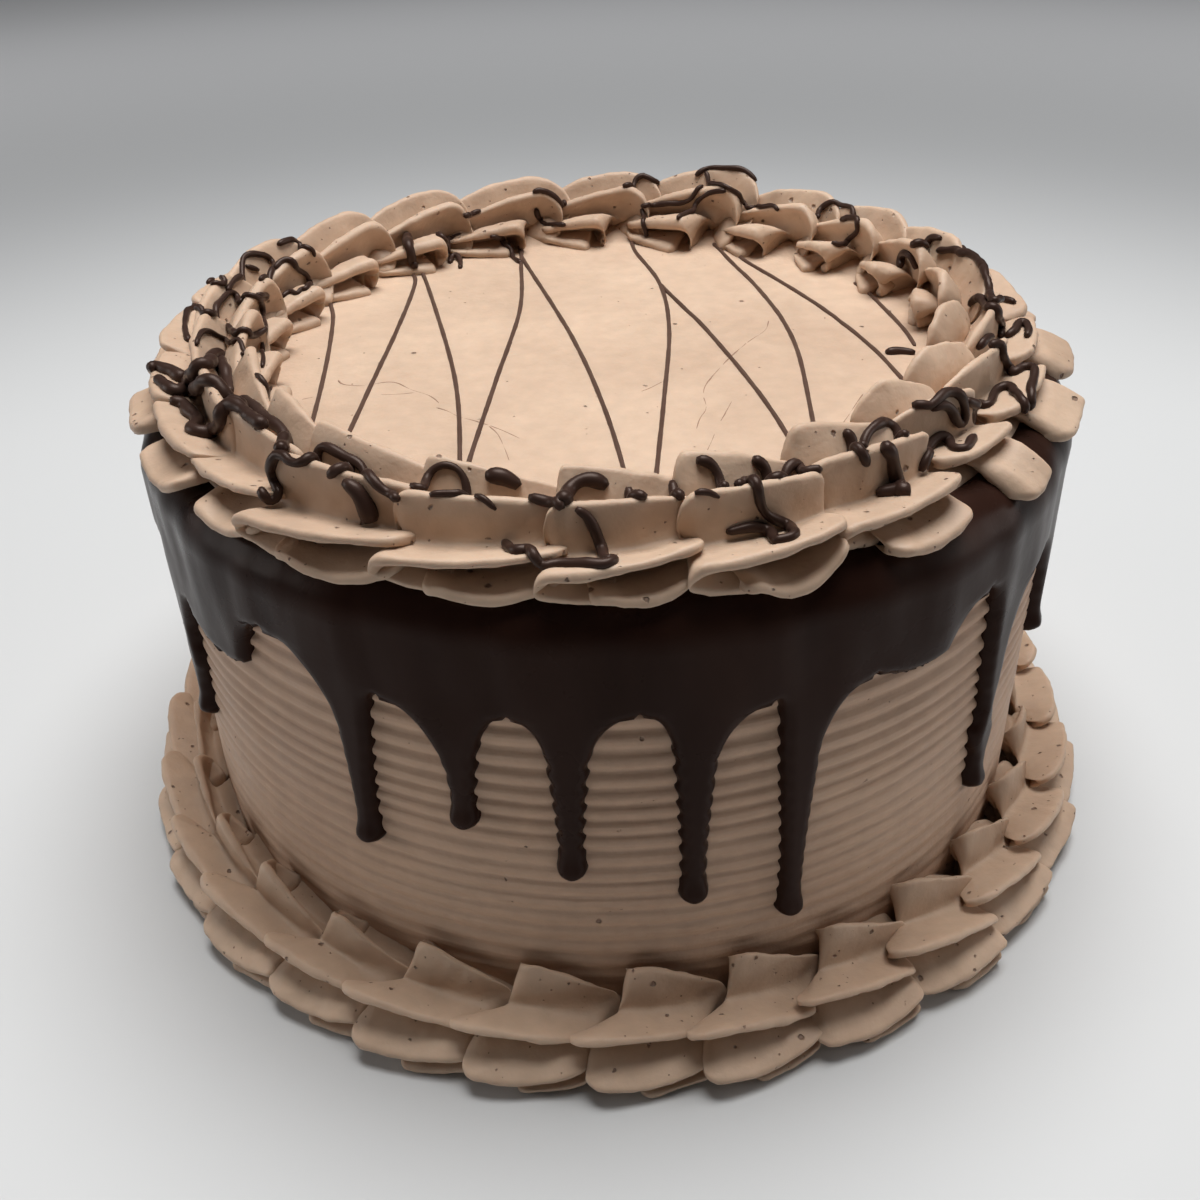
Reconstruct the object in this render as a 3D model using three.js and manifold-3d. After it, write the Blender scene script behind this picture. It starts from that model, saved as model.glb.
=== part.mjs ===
// A round layer cake: a combed icing side, a chocolate collar that runs down in drips, thin lines of
// chocolate across the top, and two borders of star-piped shells, one on the top and one round the foot.
// Millimetres, +Z up. The origin is in the middle of the foot, and the front is towards -Y.
import * as THREE from 'three';
import { mergeVertices } from 'three/addons/utils/BufferGeometryUtils.js';
import Module from 'manifold-3d';

const wasm = await Module();
wasm.setup();

// Driving dimensions
const cakeRadius = 104.3;        // over the crests of the combed side
const cakeHeight = 112;
const cakeSides = 40;
const gap = 0.3;                 // kept between pieces that touch

const combPitch = 4.3;           // height of one ridge of the combed side
const combDepth = 0.9;
const combLow = 19;              // the ridges start behind the foot border
const combHigh = 97;             // and end behind the collar
const shoulderDrop = 10;         // the collar's rounded top edge, and the slope of the icing below it
const collarThickness = 2.7;

const collarRadius = cakeRadius + collarThickness;
const collarGap = 0.45;          // clears the flat sides of both rings
const collarArch = 87;           // lower edge of the collar between two drips
const collarSeamStep = 6;        // widest step of the collar's edge, in degrees
const dripHalfWidth = 3;
const dripRootHalfWidth = 6.5;
const dripRootDrop = 9;          // a drip narrows to its own width this far below the arch
const dripSideSlant = 0.3;
const archRounding = 1.5;        // the arch has dropped this far where a drip's root begins

// Drips of the front: angle from the front in degrees, positive to the right, and height of the tip
const frontDrips = [
  [-78, 52], [-64, 45], [-44.6, 79], [-28.9, 46], [-16.6, 57], [-5.2, 46.5],
  [7.9, 38.6], [19.3, 29], [49, 35.6], [68, 57],
];
const backDripCount = 11;        // the back carries on in the same rhythm
const backDripHeight = 49;
const backDripVariation = 13;
const backDripScatter = 0.16;    // as a share of their spacing

// Lines on the top: back end, front end, and how far the middle bows to the right
const drizzleHalfWidth = 0.9;
const drizzleHeight = 0.9;
const drizzleSteps = 4;
const drizzleReach = 71;         // the lines end clear of the border
const drizzleLines = [
  [-67, 22, -63, -30, 1], [-50, 50, -54.5, -42, 3], [-47, 53, -30, -54, 2], [-22, 64, -28, -55, 5],
  [-20, 65, 3, -65, 1], [11, 69, 8, -70, 6], [16, 43, 37, -49, 3], [36, 61, 43, -45, 5],
  [41, 57, 67, -22, 3],
];

// Star-piped shells: the section from the outer foot over the fins and grooves to the inner foot, each
// as distance across the border, height, and reach of the rolled head behind the crest
const topBorder = {
  name: 'top_shell',
  radius: 91,
  heads: [-175, -156, -139, -122, -105, -88.5, -71.7, -55, -40, -23, -7, 6.5, 21, 37, 52, 70, 87, 104,
    119, 134, 150, 168],
  star: [
    [9, 0, 3], [15.5, 1.6, 6], [7.5, 3, 3.5], [14.5, 8, 7.3], [3.5, 6.5, 4.5], [6, 16, 9],
    [-1, 8, 4.5], [-5.5, 13.5, 8.4], [-6, 6, 4.5], [-13, 7, 7.1], [-10.5, 0, 3],
  ],
  core: [0, 3, 3.5],
  headLine: 5.8,
  unevenSize: 0.09,
};
const footShellCount = 30;
const footFirstHead = -5.4;
const footBorder = {
  name: 'foot_shell',
  radius: 111,
  heads: Array.from({ length: footShellCount }, (_, i) => footFirstHead + (i * 360) / footShellCount),
  star: [
    [7.5, 0, 2], [12, 1.8, 5], [7, 3.6, 3], [13.3, 9, 7.2], [3.5, 9.5, 4.5], [7.5, 17.5, 8.4],
    [-1, 13.5, 4.5], [-3, 24, 9], [-6, 15, 4.5], [-6, 0, 3],
  ],
  core: [0, 6, 3.5],
  headLine: 5.8,
  unevenSize: 0.07,
};
const headTurns = [-42, -2, 42, 90];       // degrees, from under the rolled head to its crest
const headMiddle = 0.45;                   // height of the roll's middle, as a share of each fin's height
const headPinch = 0.8;                     // the star is narrower where the piping starts
const headLean = 25;                       // degrees that a head leans back over the tail before it
const tailSteps = [0.34, 0.7, 1];
const tailSize = 0.42;                     // of the section at the end of the tail

const cream = { color: 0xb08a74, roughness: 0.62, metalness: 0 };
const sideCream = { color: 0xa78472, roughness: 0.66, metalness: 0 };
const chocolate = { color: 0x2a1712, roughness: 0.34, metalness: 0 };

const degrees = Math.PI / 180;

// A point at an angle from the front
function aroundCake(radius, angle, z) {
  return new THREE.Vector3(radius * Math.sin(angle), -radius * Math.cos(angle), z);
}

// A repeatable value from -1 to 1, for hand-made unevenness
function uneven(index, kind) {
  const wave = Math.sin(index * 12.9898 + kind * 78.233) * 43758.5453;
  return 2 * (wave - Math.floor(wave)) - 1;
}

// Faces between neighbouring rings of equal length, facing out
function loftFaces(ringCount, count, closed) {
  const faces = [];
  for (let ring = 0; ring < (closed ? ringCount : ringCount - 1); ring += 1) {
    const start = ring * count;
    const after = ((ring + 1) % ringCount) * count;
    for (let side = 0; side < count; side += 1) {
      const next = (side + 1) % count;
      faces.push(start + side, after + side, start + next);
      faces.push(start + next, after + side, after + next);
    }
  }
  return faces;
}

// Closed mesh from rings of equal length, with each end capped from a point inside it
function cappedLoft(rings, firstMiddle, lastMiddle) {
  const count = rings[0].length;
  const firstHub = rings.length * count;
  const lastRing = firstHub - count;
  const faces = loftFaces(rings.length, count, false);
  for (let side = 0; side < count; side += 1) {
    const next = (side + 1) % count;
    faces.push(firstHub, side, next);
    faces.push(firstHub + 1, lastRing + next, lastRing + side);
  }
  const points = [...rings.flat(), firstMiddle, lastMiddle];
  return new THREE.BufferGeometry().setFromPoints(points).setIndex(faces);
}

// A solid that can be cut and joined, from a closed geometry
function solidFrom(geometry) {
  const bare = geometry.clone();
  bare.deleteAttribute('normal');
  bare.deleteAttribute('uv');
  const welded = mergeVertices(bare, 1e-4);
  const index = welded.index.array;
  const faces = [];
  for (let i = 0; i < index.length; i += 3) {
    const [a, b, c] = [index[i], index[i + 1], index[i + 2]];
    if (a !== b && b !== c && c !== a) {
      faces.push(a, b, c);
    }
  }
  const vertProperties = new Float32Array(welded.attributes.position.array);
  const triVerts = new Uint32Array(faces);
  return new wasm.Manifold(new wasm.Mesh({ numProp: 3, vertProperties, triVerts }));
}

function geometryFrom(solid) {
  const mesh = solid.getMesh();
  const geometry = new THREE.BufferGeometry();
  geometry.setAttribute('position', new THREE.Float32BufferAttribute(mesh.vertProperties, 3));
  geometry.setIndex(Array.from(mesh.triVerts));
  return geometry;
}

function turned(profile, sides) {
  const points = profile.map(([radius, z]) => new THREE.Vector2(radius, z));
  return new THREE.LatheGeometry(points, sides).rotateX(Math.PI / 2);
}

// The iced cake, with the comb's ridges up its side and a sloping edge below the collar
function cakeBody() {
  const shoulderZ = cakeHeight - shoulderDrop;
  const slope = shoulderDrop - collarThickness;
  const profile = [[0, 0], [cakeRadius - combDepth, 0]];
  for (let z = combLow; z < combHigh; z += combPitch) {
    profile.push([cakeRadius - combDepth, z], [cakeRadius, z + combPitch / 2]);
  }
  profile.push([cakeRadius, shoulderZ]);
  profile.push([cakeRadius - slope, shoulderZ + slope]);
  profile.push([cakeRadius - slope - collarThickness * 1.5, cakeHeight], [0, cakeHeight]);
  return solidFrom(turned(profile, cakeSides));
}

// A point on the top, kept clear of the border
function onTop(x, y) {
  const point = new THREE.Vector3(x, y, 0).clampLength(0, drizzleReach);
  return point.setZ(cakeHeight);
}

// One line of chocolate on the top: a low three-sided rib along a bowed curve
function drizzleLine([backX, backY, frontX, frontY, bow]) {
  const back = onTop(backX, backY);
  const front = onTop(frontX, frontY);
  const middle = back.clone().lerp(front, 0.5);
  middle.x += 2 * bow;
  const curve = new THREE.QuadraticBezierCurve3(back, middle, front);
  const rings = [];
  for (let step = 0; step <= drizzleSteps; step += 1) {
    const point = curve.getPoint(step / drizzleSteps);
    const tangent = curve.getTangent(step / drizzleSteps);
    const side = new THREE.Vector3(tangent.y, -tangent.x, 0).multiplyScalar(drizzleHalfWidth);
    const crest = point.clone().setZ(cakeHeight + drizzleHeight);
    const foot = point.clone().setZ(cakeHeight - drizzleHeight);
    rings.push([foot.clone().add(side), crest, foot.clone().sub(side)]);
  }
  return solidFrom(cappedLoft(rings, back, front));
}

function cakeWithDrizzle() {
  return drizzleLines.reduce((cake, line) => cake.add(drizzleLine(line)), cakeBody());
}

// All drips round the cake, in order of angle
function allDrips() {
  const [firstAngle] = frontDrips[0];
  const [lastAngle] = frontDrips[frontDrips.length - 1];
  const step = (360 + firstAngle - lastAngle) / (backDripCount + 1);
  const drips = frontDrips.map(([angle, tip]) => ({ angle, tip }));
  for (let i = 1; i <= backDripCount; i += 1) {
    const angle = lastAngle + step * (i + backDripScatter * uneven(i, 1));
    drips.push({ angle, tip: backDripHeight + backDripVariation * uneven(i, 2) });
  }
  return drips;
}

// The collar's lower edge as columns of angle and height: arch, drip, arch, drip
function collarEdge() {
  const drips = allDrips();
  const mmToAngle = 1 / (cakeRadius * degrees);
  const columns = [];
  drips.forEach(({ angle, tip }, i) => {
    const root = Math.max(collarArch - dripRootDrop, tip);
    const offsets = [
      [-dripRootHalfWidth, collarArch - archRounding], [-dripHalfWidth - dripSideSlant, root],
      [-dripHalfWidth + dripSideSlant, tip], [dripHalfWidth - dripSideSlant, tip],
      [dripHalfWidth + dripSideSlant, root], [dripRootHalfWidth, collarArch - archRounding],
    ];
    offsets.forEach(([offset, z]) => columns.push([angle + offset * mmToAngle, z]));
    const next = drips[(i + 1) % drips.length].angle + (i + 1 === drips.length ? 360 : 0);
    const from = angle + dripRootHalfWidth * mmToAngle;
    const to = next - dripRootHalfWidth * mmToAngle;
    const steps = Math.ceil((to - from) / collarSeamStep);
    for (let step = 1; step < Math.max(steps, 2); step += 1) {
      columns.push([from + ((to - from) * step) / Math.max(steps, 2), collarArch]);
    }
  });
  return columns;
}

// The chocolate collar: a closed ring of sections that follow the side and round over the top edge
function collarGeometry() {
  const shoulderZ = cakeHeight - shoulderDrop;
  const slope = shoulderDrop - collarThickness;
  const inner = cakeRadius + collarGap;
  const arcX = collarRadius - shoulderDrop;
  const arcReach = shoulderDrop * Math.SQRT1_2;
  const sections = collarEdge().map(([angle, edge]) => {
    const outline = [
      [collarRadius, edge], [collarRadius, shoulderZ], [arcX + arcReach, shoulderZ + arcReach],
      [arcX - collarThickness / 2, cakeHeight], [inner - slope, shoulderZ + slope + collarGap],
      [inner, shoulderZ], [inner, edge],
    ];
    return outline.map(([radius, z]) => aroundCake(radius, angle * degrees, z));
  });
  const faces = loftFaces(sections.length, sections[0].length, true);
  return new THREE.BufferGeometry().setFromPoints(sections.flat()).setIndex(faces);
}

// One shell as rings round its section: the star rolls over from under the head to its crest, then runs
// down into a thin tail that ends at the leaning line where the next head starts
function shellRings(star, tailEnd) {
  const lean = Math.tan(headLean * degrees);
  const rings = headTurns.map((turn, i) => {
    const back = Math.cos(turn * degrees);
    const rise = headMiddle + (1 - headMiddle) * Math.sin(turn * degrees);
    const pinch = headPinch + (1 - headPinch) * rise;
    const footBack = 1 - i / (headTurns.length - 1);
    return star.map(([across, height, reach]) => (
      { across: across * pinch, along: -reach * (height > 0 ? back : footBack), height: height * rise }
    ));
  });
  tailSteps.forEach((step) => {
    const size = 1 - (1 - tailSize) * step * Math.sqrt(step);
    rings.push(star.map(([across, height]) => (
      { across: across * size, along: step * (tailEnd - lean * height * size), height: height * size }
    )));
  });
  return rings;
}

// All shells of a border, bent round the cake on their seat
function pipeBorder(border, seatZ) {
  const tallFin = border.star.reduce((best, point) => (point[1] > best[1] ? point : best));
  const heads = border.heads.map((angle) => angle * degrees + tallFin[2] / border.radius);
  return heads.map((head, i) => {
    const next = heads[(i + 1) % heads.length] + (i + 1 === heads.length ? 2 * Math.PI : 0);
    const tailEnd = (next - head) * border.radius - border.headLine - gap;
    const size = 1 + border.unevenSize * uneven(i, 3);
    const star = [...border.star, border.core].map(([across, height, reach]) => (
      [across, height * size, reach]
    ));
    const rings = shellRings(star, tailEnd).map((ring) => ring.map(({ across, along, height }) => (
      aroundCake(border.radius + across, head + along / border.radius, seatZ + height)
    )));
    return cappedLoft(rings.map((ring) => ring.slice(0, -1)), rings[0].at(-1), rings.at(-1).at(-1));
  });
}

const group = new THREE.Group();

function addMesh(name, geometry, finish) {
  const mesh = new THREE.Mesh(geometry, new THREE.MeshStandardMaterial(finish));
  mesh.name = name;
  group.add(mesh);
}

addMesh('cake', geometryFrom(cakeWithDrizzle()), sideCream);
addMesh('chocolate_collar', collarGeometry(), chocolate);

function addBorder(border, seatZ) {
  pipeBorder(border, seatZ).forEach((geometry, i) => {
    addMesh(`${border.name}_${String(i + 1).padStart(2, '0')}`, geometry, cream);
  });
}
addBorder(topBorder, cakeHeight + gap);
addBorder(footBorder, 0);

export default group;
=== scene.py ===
import math

import bpy
import numpy as np
from mathutils import Matrix, Vector
from mathutils.bvhtree import BVHTree
from mathutils.kdtree import KDTree


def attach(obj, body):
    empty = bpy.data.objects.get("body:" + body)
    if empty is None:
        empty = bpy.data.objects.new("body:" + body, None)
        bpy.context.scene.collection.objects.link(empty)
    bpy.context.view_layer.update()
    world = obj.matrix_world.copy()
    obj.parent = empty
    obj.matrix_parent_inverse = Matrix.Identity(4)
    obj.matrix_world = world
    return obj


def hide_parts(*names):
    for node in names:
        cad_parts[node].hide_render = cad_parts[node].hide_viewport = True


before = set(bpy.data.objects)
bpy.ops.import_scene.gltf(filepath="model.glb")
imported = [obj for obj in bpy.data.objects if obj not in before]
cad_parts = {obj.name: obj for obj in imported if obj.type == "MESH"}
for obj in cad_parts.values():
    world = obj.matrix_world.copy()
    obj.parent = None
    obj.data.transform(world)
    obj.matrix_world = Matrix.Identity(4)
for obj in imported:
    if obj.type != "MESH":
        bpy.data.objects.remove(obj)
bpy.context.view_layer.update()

mm = 0.001  # the dictionaries below are in millimetres and degrees
body = "root"


# Small helpers

scramble = (12.9898, 78.233, 43758.5453)
draws = {  # a number for each thing that is uneven
    "dripAngle": 1, "dripTip": 2, "size": 3, "archAngle": 4, "archHeight": 5, "lift": 5, "sag": 6,
    "loopWidth": 8, "loopReach": 9, "curl": 10, "rise": 11, "turned": 12,
}


def uneven(index, draw):  # repeatable value from -1 to 1, made as in the solids
    perIndex, perDraw, spread = scramble
    wave = math.sin(index * perIndex + draws[draw] * perDraw) * spread
    return 2 * (wave - math.floor(wave)) - 1


def aroundCake(radius, angle, height):  # angle from the front, to the right
    turn = np.radians(angle)
    parts = np.broadcast_arrays(radius * np.sin(turn), -radius * np.cos(turn), height)
    return np.stack(parts, axis=-1) * mm


def smoothStep(value):
    clipped = np.clip(value, 0, 1)
    return clipped * clipped * (3 - 2 * clipped)


def roundEdge(share):  # quarter circle from 0 to 1
    return np.sqrt(np.clip(1 - (1 - np.clip(share, 0, 1)) ** 2, 0, 1))


def hump(value, middle, reach):  # bell curve, 1 at its middle
    return np.exp(-((value - middle) / reach) ** 2)


def waveSum(turn, z, waves):  # each wave: height, number round the cake, mm of climb for a radian, phase
    return sum(high * np.sin(count * turn + z / climb + phase) for high, count, climb, phase in waves)


def pickOnly(obj):
    bpy.ops.object.select_all(action="DESELECT")
    obj.select_set(True)
    bpy.context.view_layer.objects.active = obj


def rename(piece, name):
    piece.name = name
    piece.data.name = name


def linkObject(name, data):
    piece = bpy.data.objects.new(name, data)
    bpy.context.scene.collection.objects.link(piece)
    pickOnly(piece)
    return piece


def vertexPoints(piece):  # rows of x, y and z
    points = np.zeros(len(piece.data.vertices) * 3, np.float32)
    piece.data.vertices.foreach_get("co", points)
    return points.reshape(-1, 3)


def moveVertices(piece, points):
    piece.data.vertices.foreach_set("co", points.astype(np.float32).ravel())
    piece.data.update()


def gridPiece(name, points):  # a grid primitive with its vertices moved to rows x columns of points
    rows, columns = points.shape[:2]
    bpy.ops.object.select_all(action="DESELECT")
    bpy.ops.mesh.primitive_grid_add(x_subdivisions=columns - 1, y_subdivisions=rows - 1, size=1)
    piece = bpy.context.active_object
    rename(piece, name)
    moveVertices(piece, points)
    return piece


def closeSeams(piece, distance=0.02):
    pickOnly(piece)
    bpy.ops.object.mode_set(mode="EDIT")
    bpy.ops.mesh.select_all(action="SELECT")
    bpy.ops.mesh.remove_doubles(threshold=distance * mm)
    bpy.ops.mesh.dissolve_degenerate(threshold=distance * mm * 0.1)
    bpy.ops.mesh.normals_make_consistent(inside=False)
    bpy.ops.object.mode_set(mode="OBJECT")


def applyModifier(piece, kind, **settings):
    pickOnly(piece)
    modifier = piece.modifiers.new(kind, kind)
    for name, value in settings.items():
        setattr(modifier, name, value)
    bpy.ops.object.modifier_apply(modifier=modifier.name)


def cloudTexture(name, size):
    texture = bpy.data.textures.new(name, "CLOUDS")
    texture.noise_scale = size * mm
    texture.noise_depth = 2
    return texture


def roughen(piece, texture, strength):
    applyModifier(piece, "DISPLACE", texture=texture, texture_coords="GLOBAL",
                  strength=strength * mm, mid_level=0.5)


def finishPiece(piece, material, slot, *nodes):
    pickOnly(piece)
    bpy.ops.object.shade_smooth()
    piece.data.materials.clear()
    piece.data.materials.append(material)
    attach(piece, body)
    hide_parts(*nodes)


# Materials

def newFinish(name):
    material = bpy.data.materials.new(name)
    material.use_nodes = True
    return material, material.node_tree, material.node_tree.nodes["Principled BSDF"]


def setSocket(tree, socket, value):  # a value, or a link from another node's output
    if isinstance(value, bpy.types.NodeSocket):
        tree.links.new(value, socket)
    else:
        socket.default_value = value


def setInputs(tree, node, values):
    for name, value in values.items():
        setSocket(tree, node.inputs[name], value)


def addNode(tree, kind, inputs=None, **settings):
    made = tree.nodes.new(kind)
    for name, value in settings.items():
        setattr(made, name, value)
    setInputs(tree, made, inputs or {})
    return made


def objectCoordinates(tree, scale=(1, 1, 1)):
    coordinates = addNode(tree, "ShaderNodeTexCoord")
    mapping = addNode(tree, "ShaderNodeMapping", {"Vector": coordinates.outputs["Object"], "Scale": scale})
    return mapping.outputs["Vector"]


def noiseValue(tree, vector, scale, detail=3.0, distortion=0.0):
    noise = addNode(tree, "ShaderNodeTexNoise", {
        "Vector": vector, "Scale": scale, "Detail": detail, "Distortion": distortion})
    return noise.outputs["Fac"]


def mapValue(tree, value, low, high, toLow=0.0, toHigh=1.0, smooth=False):
    ranged = addNode(tree, "ShaderNodeMapRange", {
        "Value": value, "From Min": low, "From Max": high, "To Min": toLow, "To Max": toHigh})
    ranged.interpolation_type = "SMOOTHSTEP" if smooth else "LINEAR"
    return ranged.outputs["Result"]


def mathValue(tree, operation, first, second=0.0):
    made = addNode(tree, "ShaderNodeMath", {0: first, 1: second}, operation=operation)
    return made.outputs["Value"]


def mixColour(tree, factor, first, second, blend="MIX"):
    mixed = addNode(tree, "ShaderNodeMix", data_type="RGBA", blend_type=blend)
    sockets = {socket.identifier: socket for socket in mixed.inputs}
    for name, value in (("Factor_Float", factor), ("A_Color", first), ("B_Color", second)):
        setSocket(tree, sockets[name], value)
    return next(socket for socket in mixed.outputs if socket.identifier == "Result_Color")


pitShape = {
    "waver": 0.9,  # how far the outline wavers, as a share of the size
    "smallest": 0.5,  # size of the smallest pit, as a share of the largest
    "floor": 0.45,  # share of a pit that is flat and takes the full painted shade
}


def pitMask(tree, vector, share, spacing, size):  # sparse air bubbles of uneven outline
    waver = addNode(tree, "ShaderNodeTexNoise", {"Vector": vector, "Scale": 1 / (size * mm), "Detail": 1.0})
    shove = (pitShape["waver"] * size * mm,) * 3
    moved = addNode(tree, "ShaderNodeVectorMath", {0: waver.outputs["Color"], 1: shove, 2: vector},
                    operation="MULTIPLY_ADD")
    voronoi = addNode(tree, "ShaderNodeTexVoronoi", {
        "Vector": moved.outputs["Vector"], "Scale": 1 / (spacing * mm)})
    picked = addNode(tree, "ShaderNodeSeparateColor", {"Color": voronoi.outputs["Color"]})
    chosen = mathValue(tree, "LESS_THAN", picked.outputs["Red"], share)
    largest = size / spacing
    reach = mapValue(tree, picked.outputs["Green"], 0, 1, pitShape["smallest"] * largest, largest)
    inside = mathValue(tree, "DIVIDE", voronoi.outputs["Distance"], reach)
    hollow = mapValue(tree, inside, pitShape["floor"], 1.0, 1.0, 0.0, smooth=True)
    return mathValue(tree, "MULTIPLY", hollow, chosen)


def addBump(tree, height, distance, strength, normal=None):
    bump = addNode(tree, "ShaderNodeBump", {
        "Height": height, "Distance": distance * mm, "Strength": strength})
    if normal is not None:
        tree.links.new(normal, bump.inputs["Normal"])
    return bump.outputs["Normal"]


noiseRange = (0.3, 0.7)  # where most values of a noise lie

icingLook = {
    "light": (0.63, 0.457, 0.33, 1),
    "dark": (0.53, 0.37, 0.262, 1),
    # painted shade: colour of the shaded inside of a pit
    "pitShade": (0.12, 0.06, 0.04, 1),
    # painted shade: the dark colour of the hairline cracks stands in for the shade inside them
    "crack": (0.30, 0.18, 0.12, 1),
    "crackRoughness": 0.8,
    # painted shade: the side is tinted darker and redder than the top, standing in for the shade and warm
    # bounce light on it
    "sideShadeTint": (0.93, 0.86, 0.825, 1),
    "sideShadeEnd": (0.104, 0.109),  # heights in metres between which the side's painted shade ends
    "pipedTint": (0.93, 0.92, 0.91, 1),
    "roughness": (0.48, 0.66),
    "noise": {"tone": (22, 2), "speckle": (240, 4), "patches": (60, 3), "grain": (900, 3)},  # scale, detail
    "lumps": (130, 4),
    "combMarks": (1.0, 4),
    "combStretch": (12, 12, 900),
    "speckle": (0.35, 0.75, 0.94, 1.05),  # range of the noise, then of the brightness
    "pits": (4.5, 0.8),  # spacing and size in mm
    "smallPits": (2.2, 0.3),
    "smallPitDepth": 0.8,
    "pitShadeStrength": 0.72,
    "combBump": (0.35, 0.5),  # depth in mm and strength of each relief
    "lumpBump": (0.5, 0.35),
    "grainBump": (0.18, 0.6),
    "pitBump": (0.7, 1.0),
    "shader": {"Specular IOR Level": 0.42, "Subsurface Weight": 0.12, "Subsurface Scale": 0.003,
               "Subsurface Radius": (1.0, 0.55, 0.35)},
}


def icingFinish(name, combed, pitShare):
    material, tree, shader = newFinish(name)
    plain = objectCoordinates(tree)
    noise = {use: noiseValue(tree, plain, *setting) for use, setting in icingLook["noise"].items()}
    tone = mapValue(tree, noise["tone"], *noiseRange)
    colour = mixColour(tree, tone, icingLook["light"], icingLook["dark"])
    speckle = mapValue(tree, noise["speckle"], *icingLook["speckle"])
    colour = mixColour(tree, 1.0, colour, speckle, "MULTIPLY")
    if combed:
        # painted shade: below the top's edge the icing is tinted darker and redder, as the shaded side
        height = addNode(tree, "ShaderNodeSeparateXYZ", {"Vector": plain}).outputs["Z"]
        onSide = mapValue(tree, height, *icingLook["sideShadeEnd"], 1.0, 0.0)
        sideShaded = mixColour(tree, 1.0, colour, icingLook["sideShadeTint"], "MULTIPLY")
        colour = mixColour(tree, onSide, colour, sideShaded)
        drawn = objectCoordinates(tree, scale=icingLook["combStretch"])
        marks = noiseValue(tree, drawn, *icingLook["combMarks"])
        normal = addBump(tree, marks, *icingLook["combBump"])
    else:
        colour = mixColour(tree, 1.0, colour, icingLook["pipedTint"], "MULTIPLY")
        lumps = noiseValue(tree, plain, *icingLook["lumps"])
        normal = addBump(tree, lumps, *icingLook["lumpBump"])
    smallPits = pitMask(tree, plain, pitShare, *icingLook["smallPits"])
    smallPits = mathValue(tree, "MULTIPLY", smallPits, icingLook["smallPitDepth"])
    pits = mathValue(tree, "MAXIMUM", pitMask(tree, plain, pitShare, *icingLook["pits"]), smallPits)
    # painted shade: the pits are darkened where their hollows would be in shade
    pitShading = mathValue(tree, "MULTIPLY", pits, icingLook["pitShadeStrength"])
    colour = mixColour(tree, pitShading, colour, icingLook["pitShade"])
    normal = addBump(tree, noise["grain"], *icingLook["grainBump"], normal)
    normal = addBump(tree, mathValue(tree, "SUBTRACT", 1.0, pits), *icingLook["pitBump"], normal)
    roughness = mapValue(tree, noise["patches"], *noiseRange, *icingLook["roughness"])
    setInputs(tree, shader, {"Base Color": colour, "Roughness": roughness, "Normal": normal})
    setInputs(tree, shader, icingLook["shader"])
    return material


def crackShadeFinish(name):
    # painted shade: a plain dark icing colour for the shaded gaps of the cracks
    material, tree, shader = newFinish(name)
    setInputs(tree, shader, {"Base Color": icingLook["crack"], "Roughness": icingLook["crackRoughness"]})
    return material


chocolateLook = {
    "flow": (1, 1, 0.3),  # stretch of the clouds and ripples that ran down
    "clouds": (45, 3, 0.6),  # scale, detail and distortion of each noise
    "patches": (70, 4),
    "ripples": (60, 2),
    "rippleStrength": 0.6,
    "grain": (700, 2),
    "grainBump": (0.04, 0.5),
    "specularTint": (1.0, 0.80, 0.70, 1),
}
glazeLook = {
    "light": (0.030, 0.0135, 0.0095, 1),
    "dark": (0.017, 0.0065, 0.0045, 1),
    "roughness": (0.24, 0.38),
    "shine": 0.08,
    "ripple": 1.2,
}
drizzleLook = {
    "light": (0.046, 0.025, 0.019, 1),
    "dark": (0.030, 0.0155, 0.0115, 1),
    "roughness": (0.30, 0.42),
    "shine": 0.22,
    "ripple": 0.3,
}
lineLook = {
    "light": (0.108, 0.063, 0.046, 1),
    "dark": (0.086, 0.048, 0.035, 1),
    "roughness": (0.34, 0.5),
    "shine": 0.25,
    "ripple": 0.1,
}


def chocolateFinish(name, look):
    material, tree, shader = newFinish(name)
    plain = objectCoordinates(tree)
    flow = objectCoordinates(tree, scale=chocolateLook["flow"])
    clouds = mapValue(tree, noiseValue(tree, flow, *chocolateLook["clouds"]), *noiseRange)
    patches = noiseValue(tree, plain, *chocolateLook["patches"])
    ripples = noiseValue(tree, flow, *chocolateLook["ripples"])
    normal = addBump(tree, ripples, look["ripple"], chocolateLook["rippleStrength"])
    grain = noiseValue(tree, plain, *chocolateLook["grain"])
    setInputs(tree, shader, {
        "Base Color": mixColour(tree, clouds, look["light"], look["dark"]),
        "Roughness": mapValue(tree, patches, *noiseRange, *look["roughness"]),
        "Normal": addBump(tree, grain, *chocolateLook["grainBump"], normal),
        "Specular IOR Level": look["shine"],
        "Specular Tint": chocolateLook["specularTint"],
    })
    return material


sideIcing = icingFinish("combed_icing", combed=True, pitShare=0.08)
pipedIcing = icingFinish("piped_icing", combed=False, pitShare=0.6)
crackShadeIcing = crackShadeFinish("crack_shade_icing")
glazeChocolate = chocolateFinish("chocolate_glaze", glazeLook)
drizzleChocolate = chocolateFinish("chocolate_drizzle", drizzleLook)
lineChocolate = chocolateFinish("chocolate_lines", lineLook)
print("finishes ready")


# The iced cake: a profile with comb ridges, spun round the axis

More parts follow.
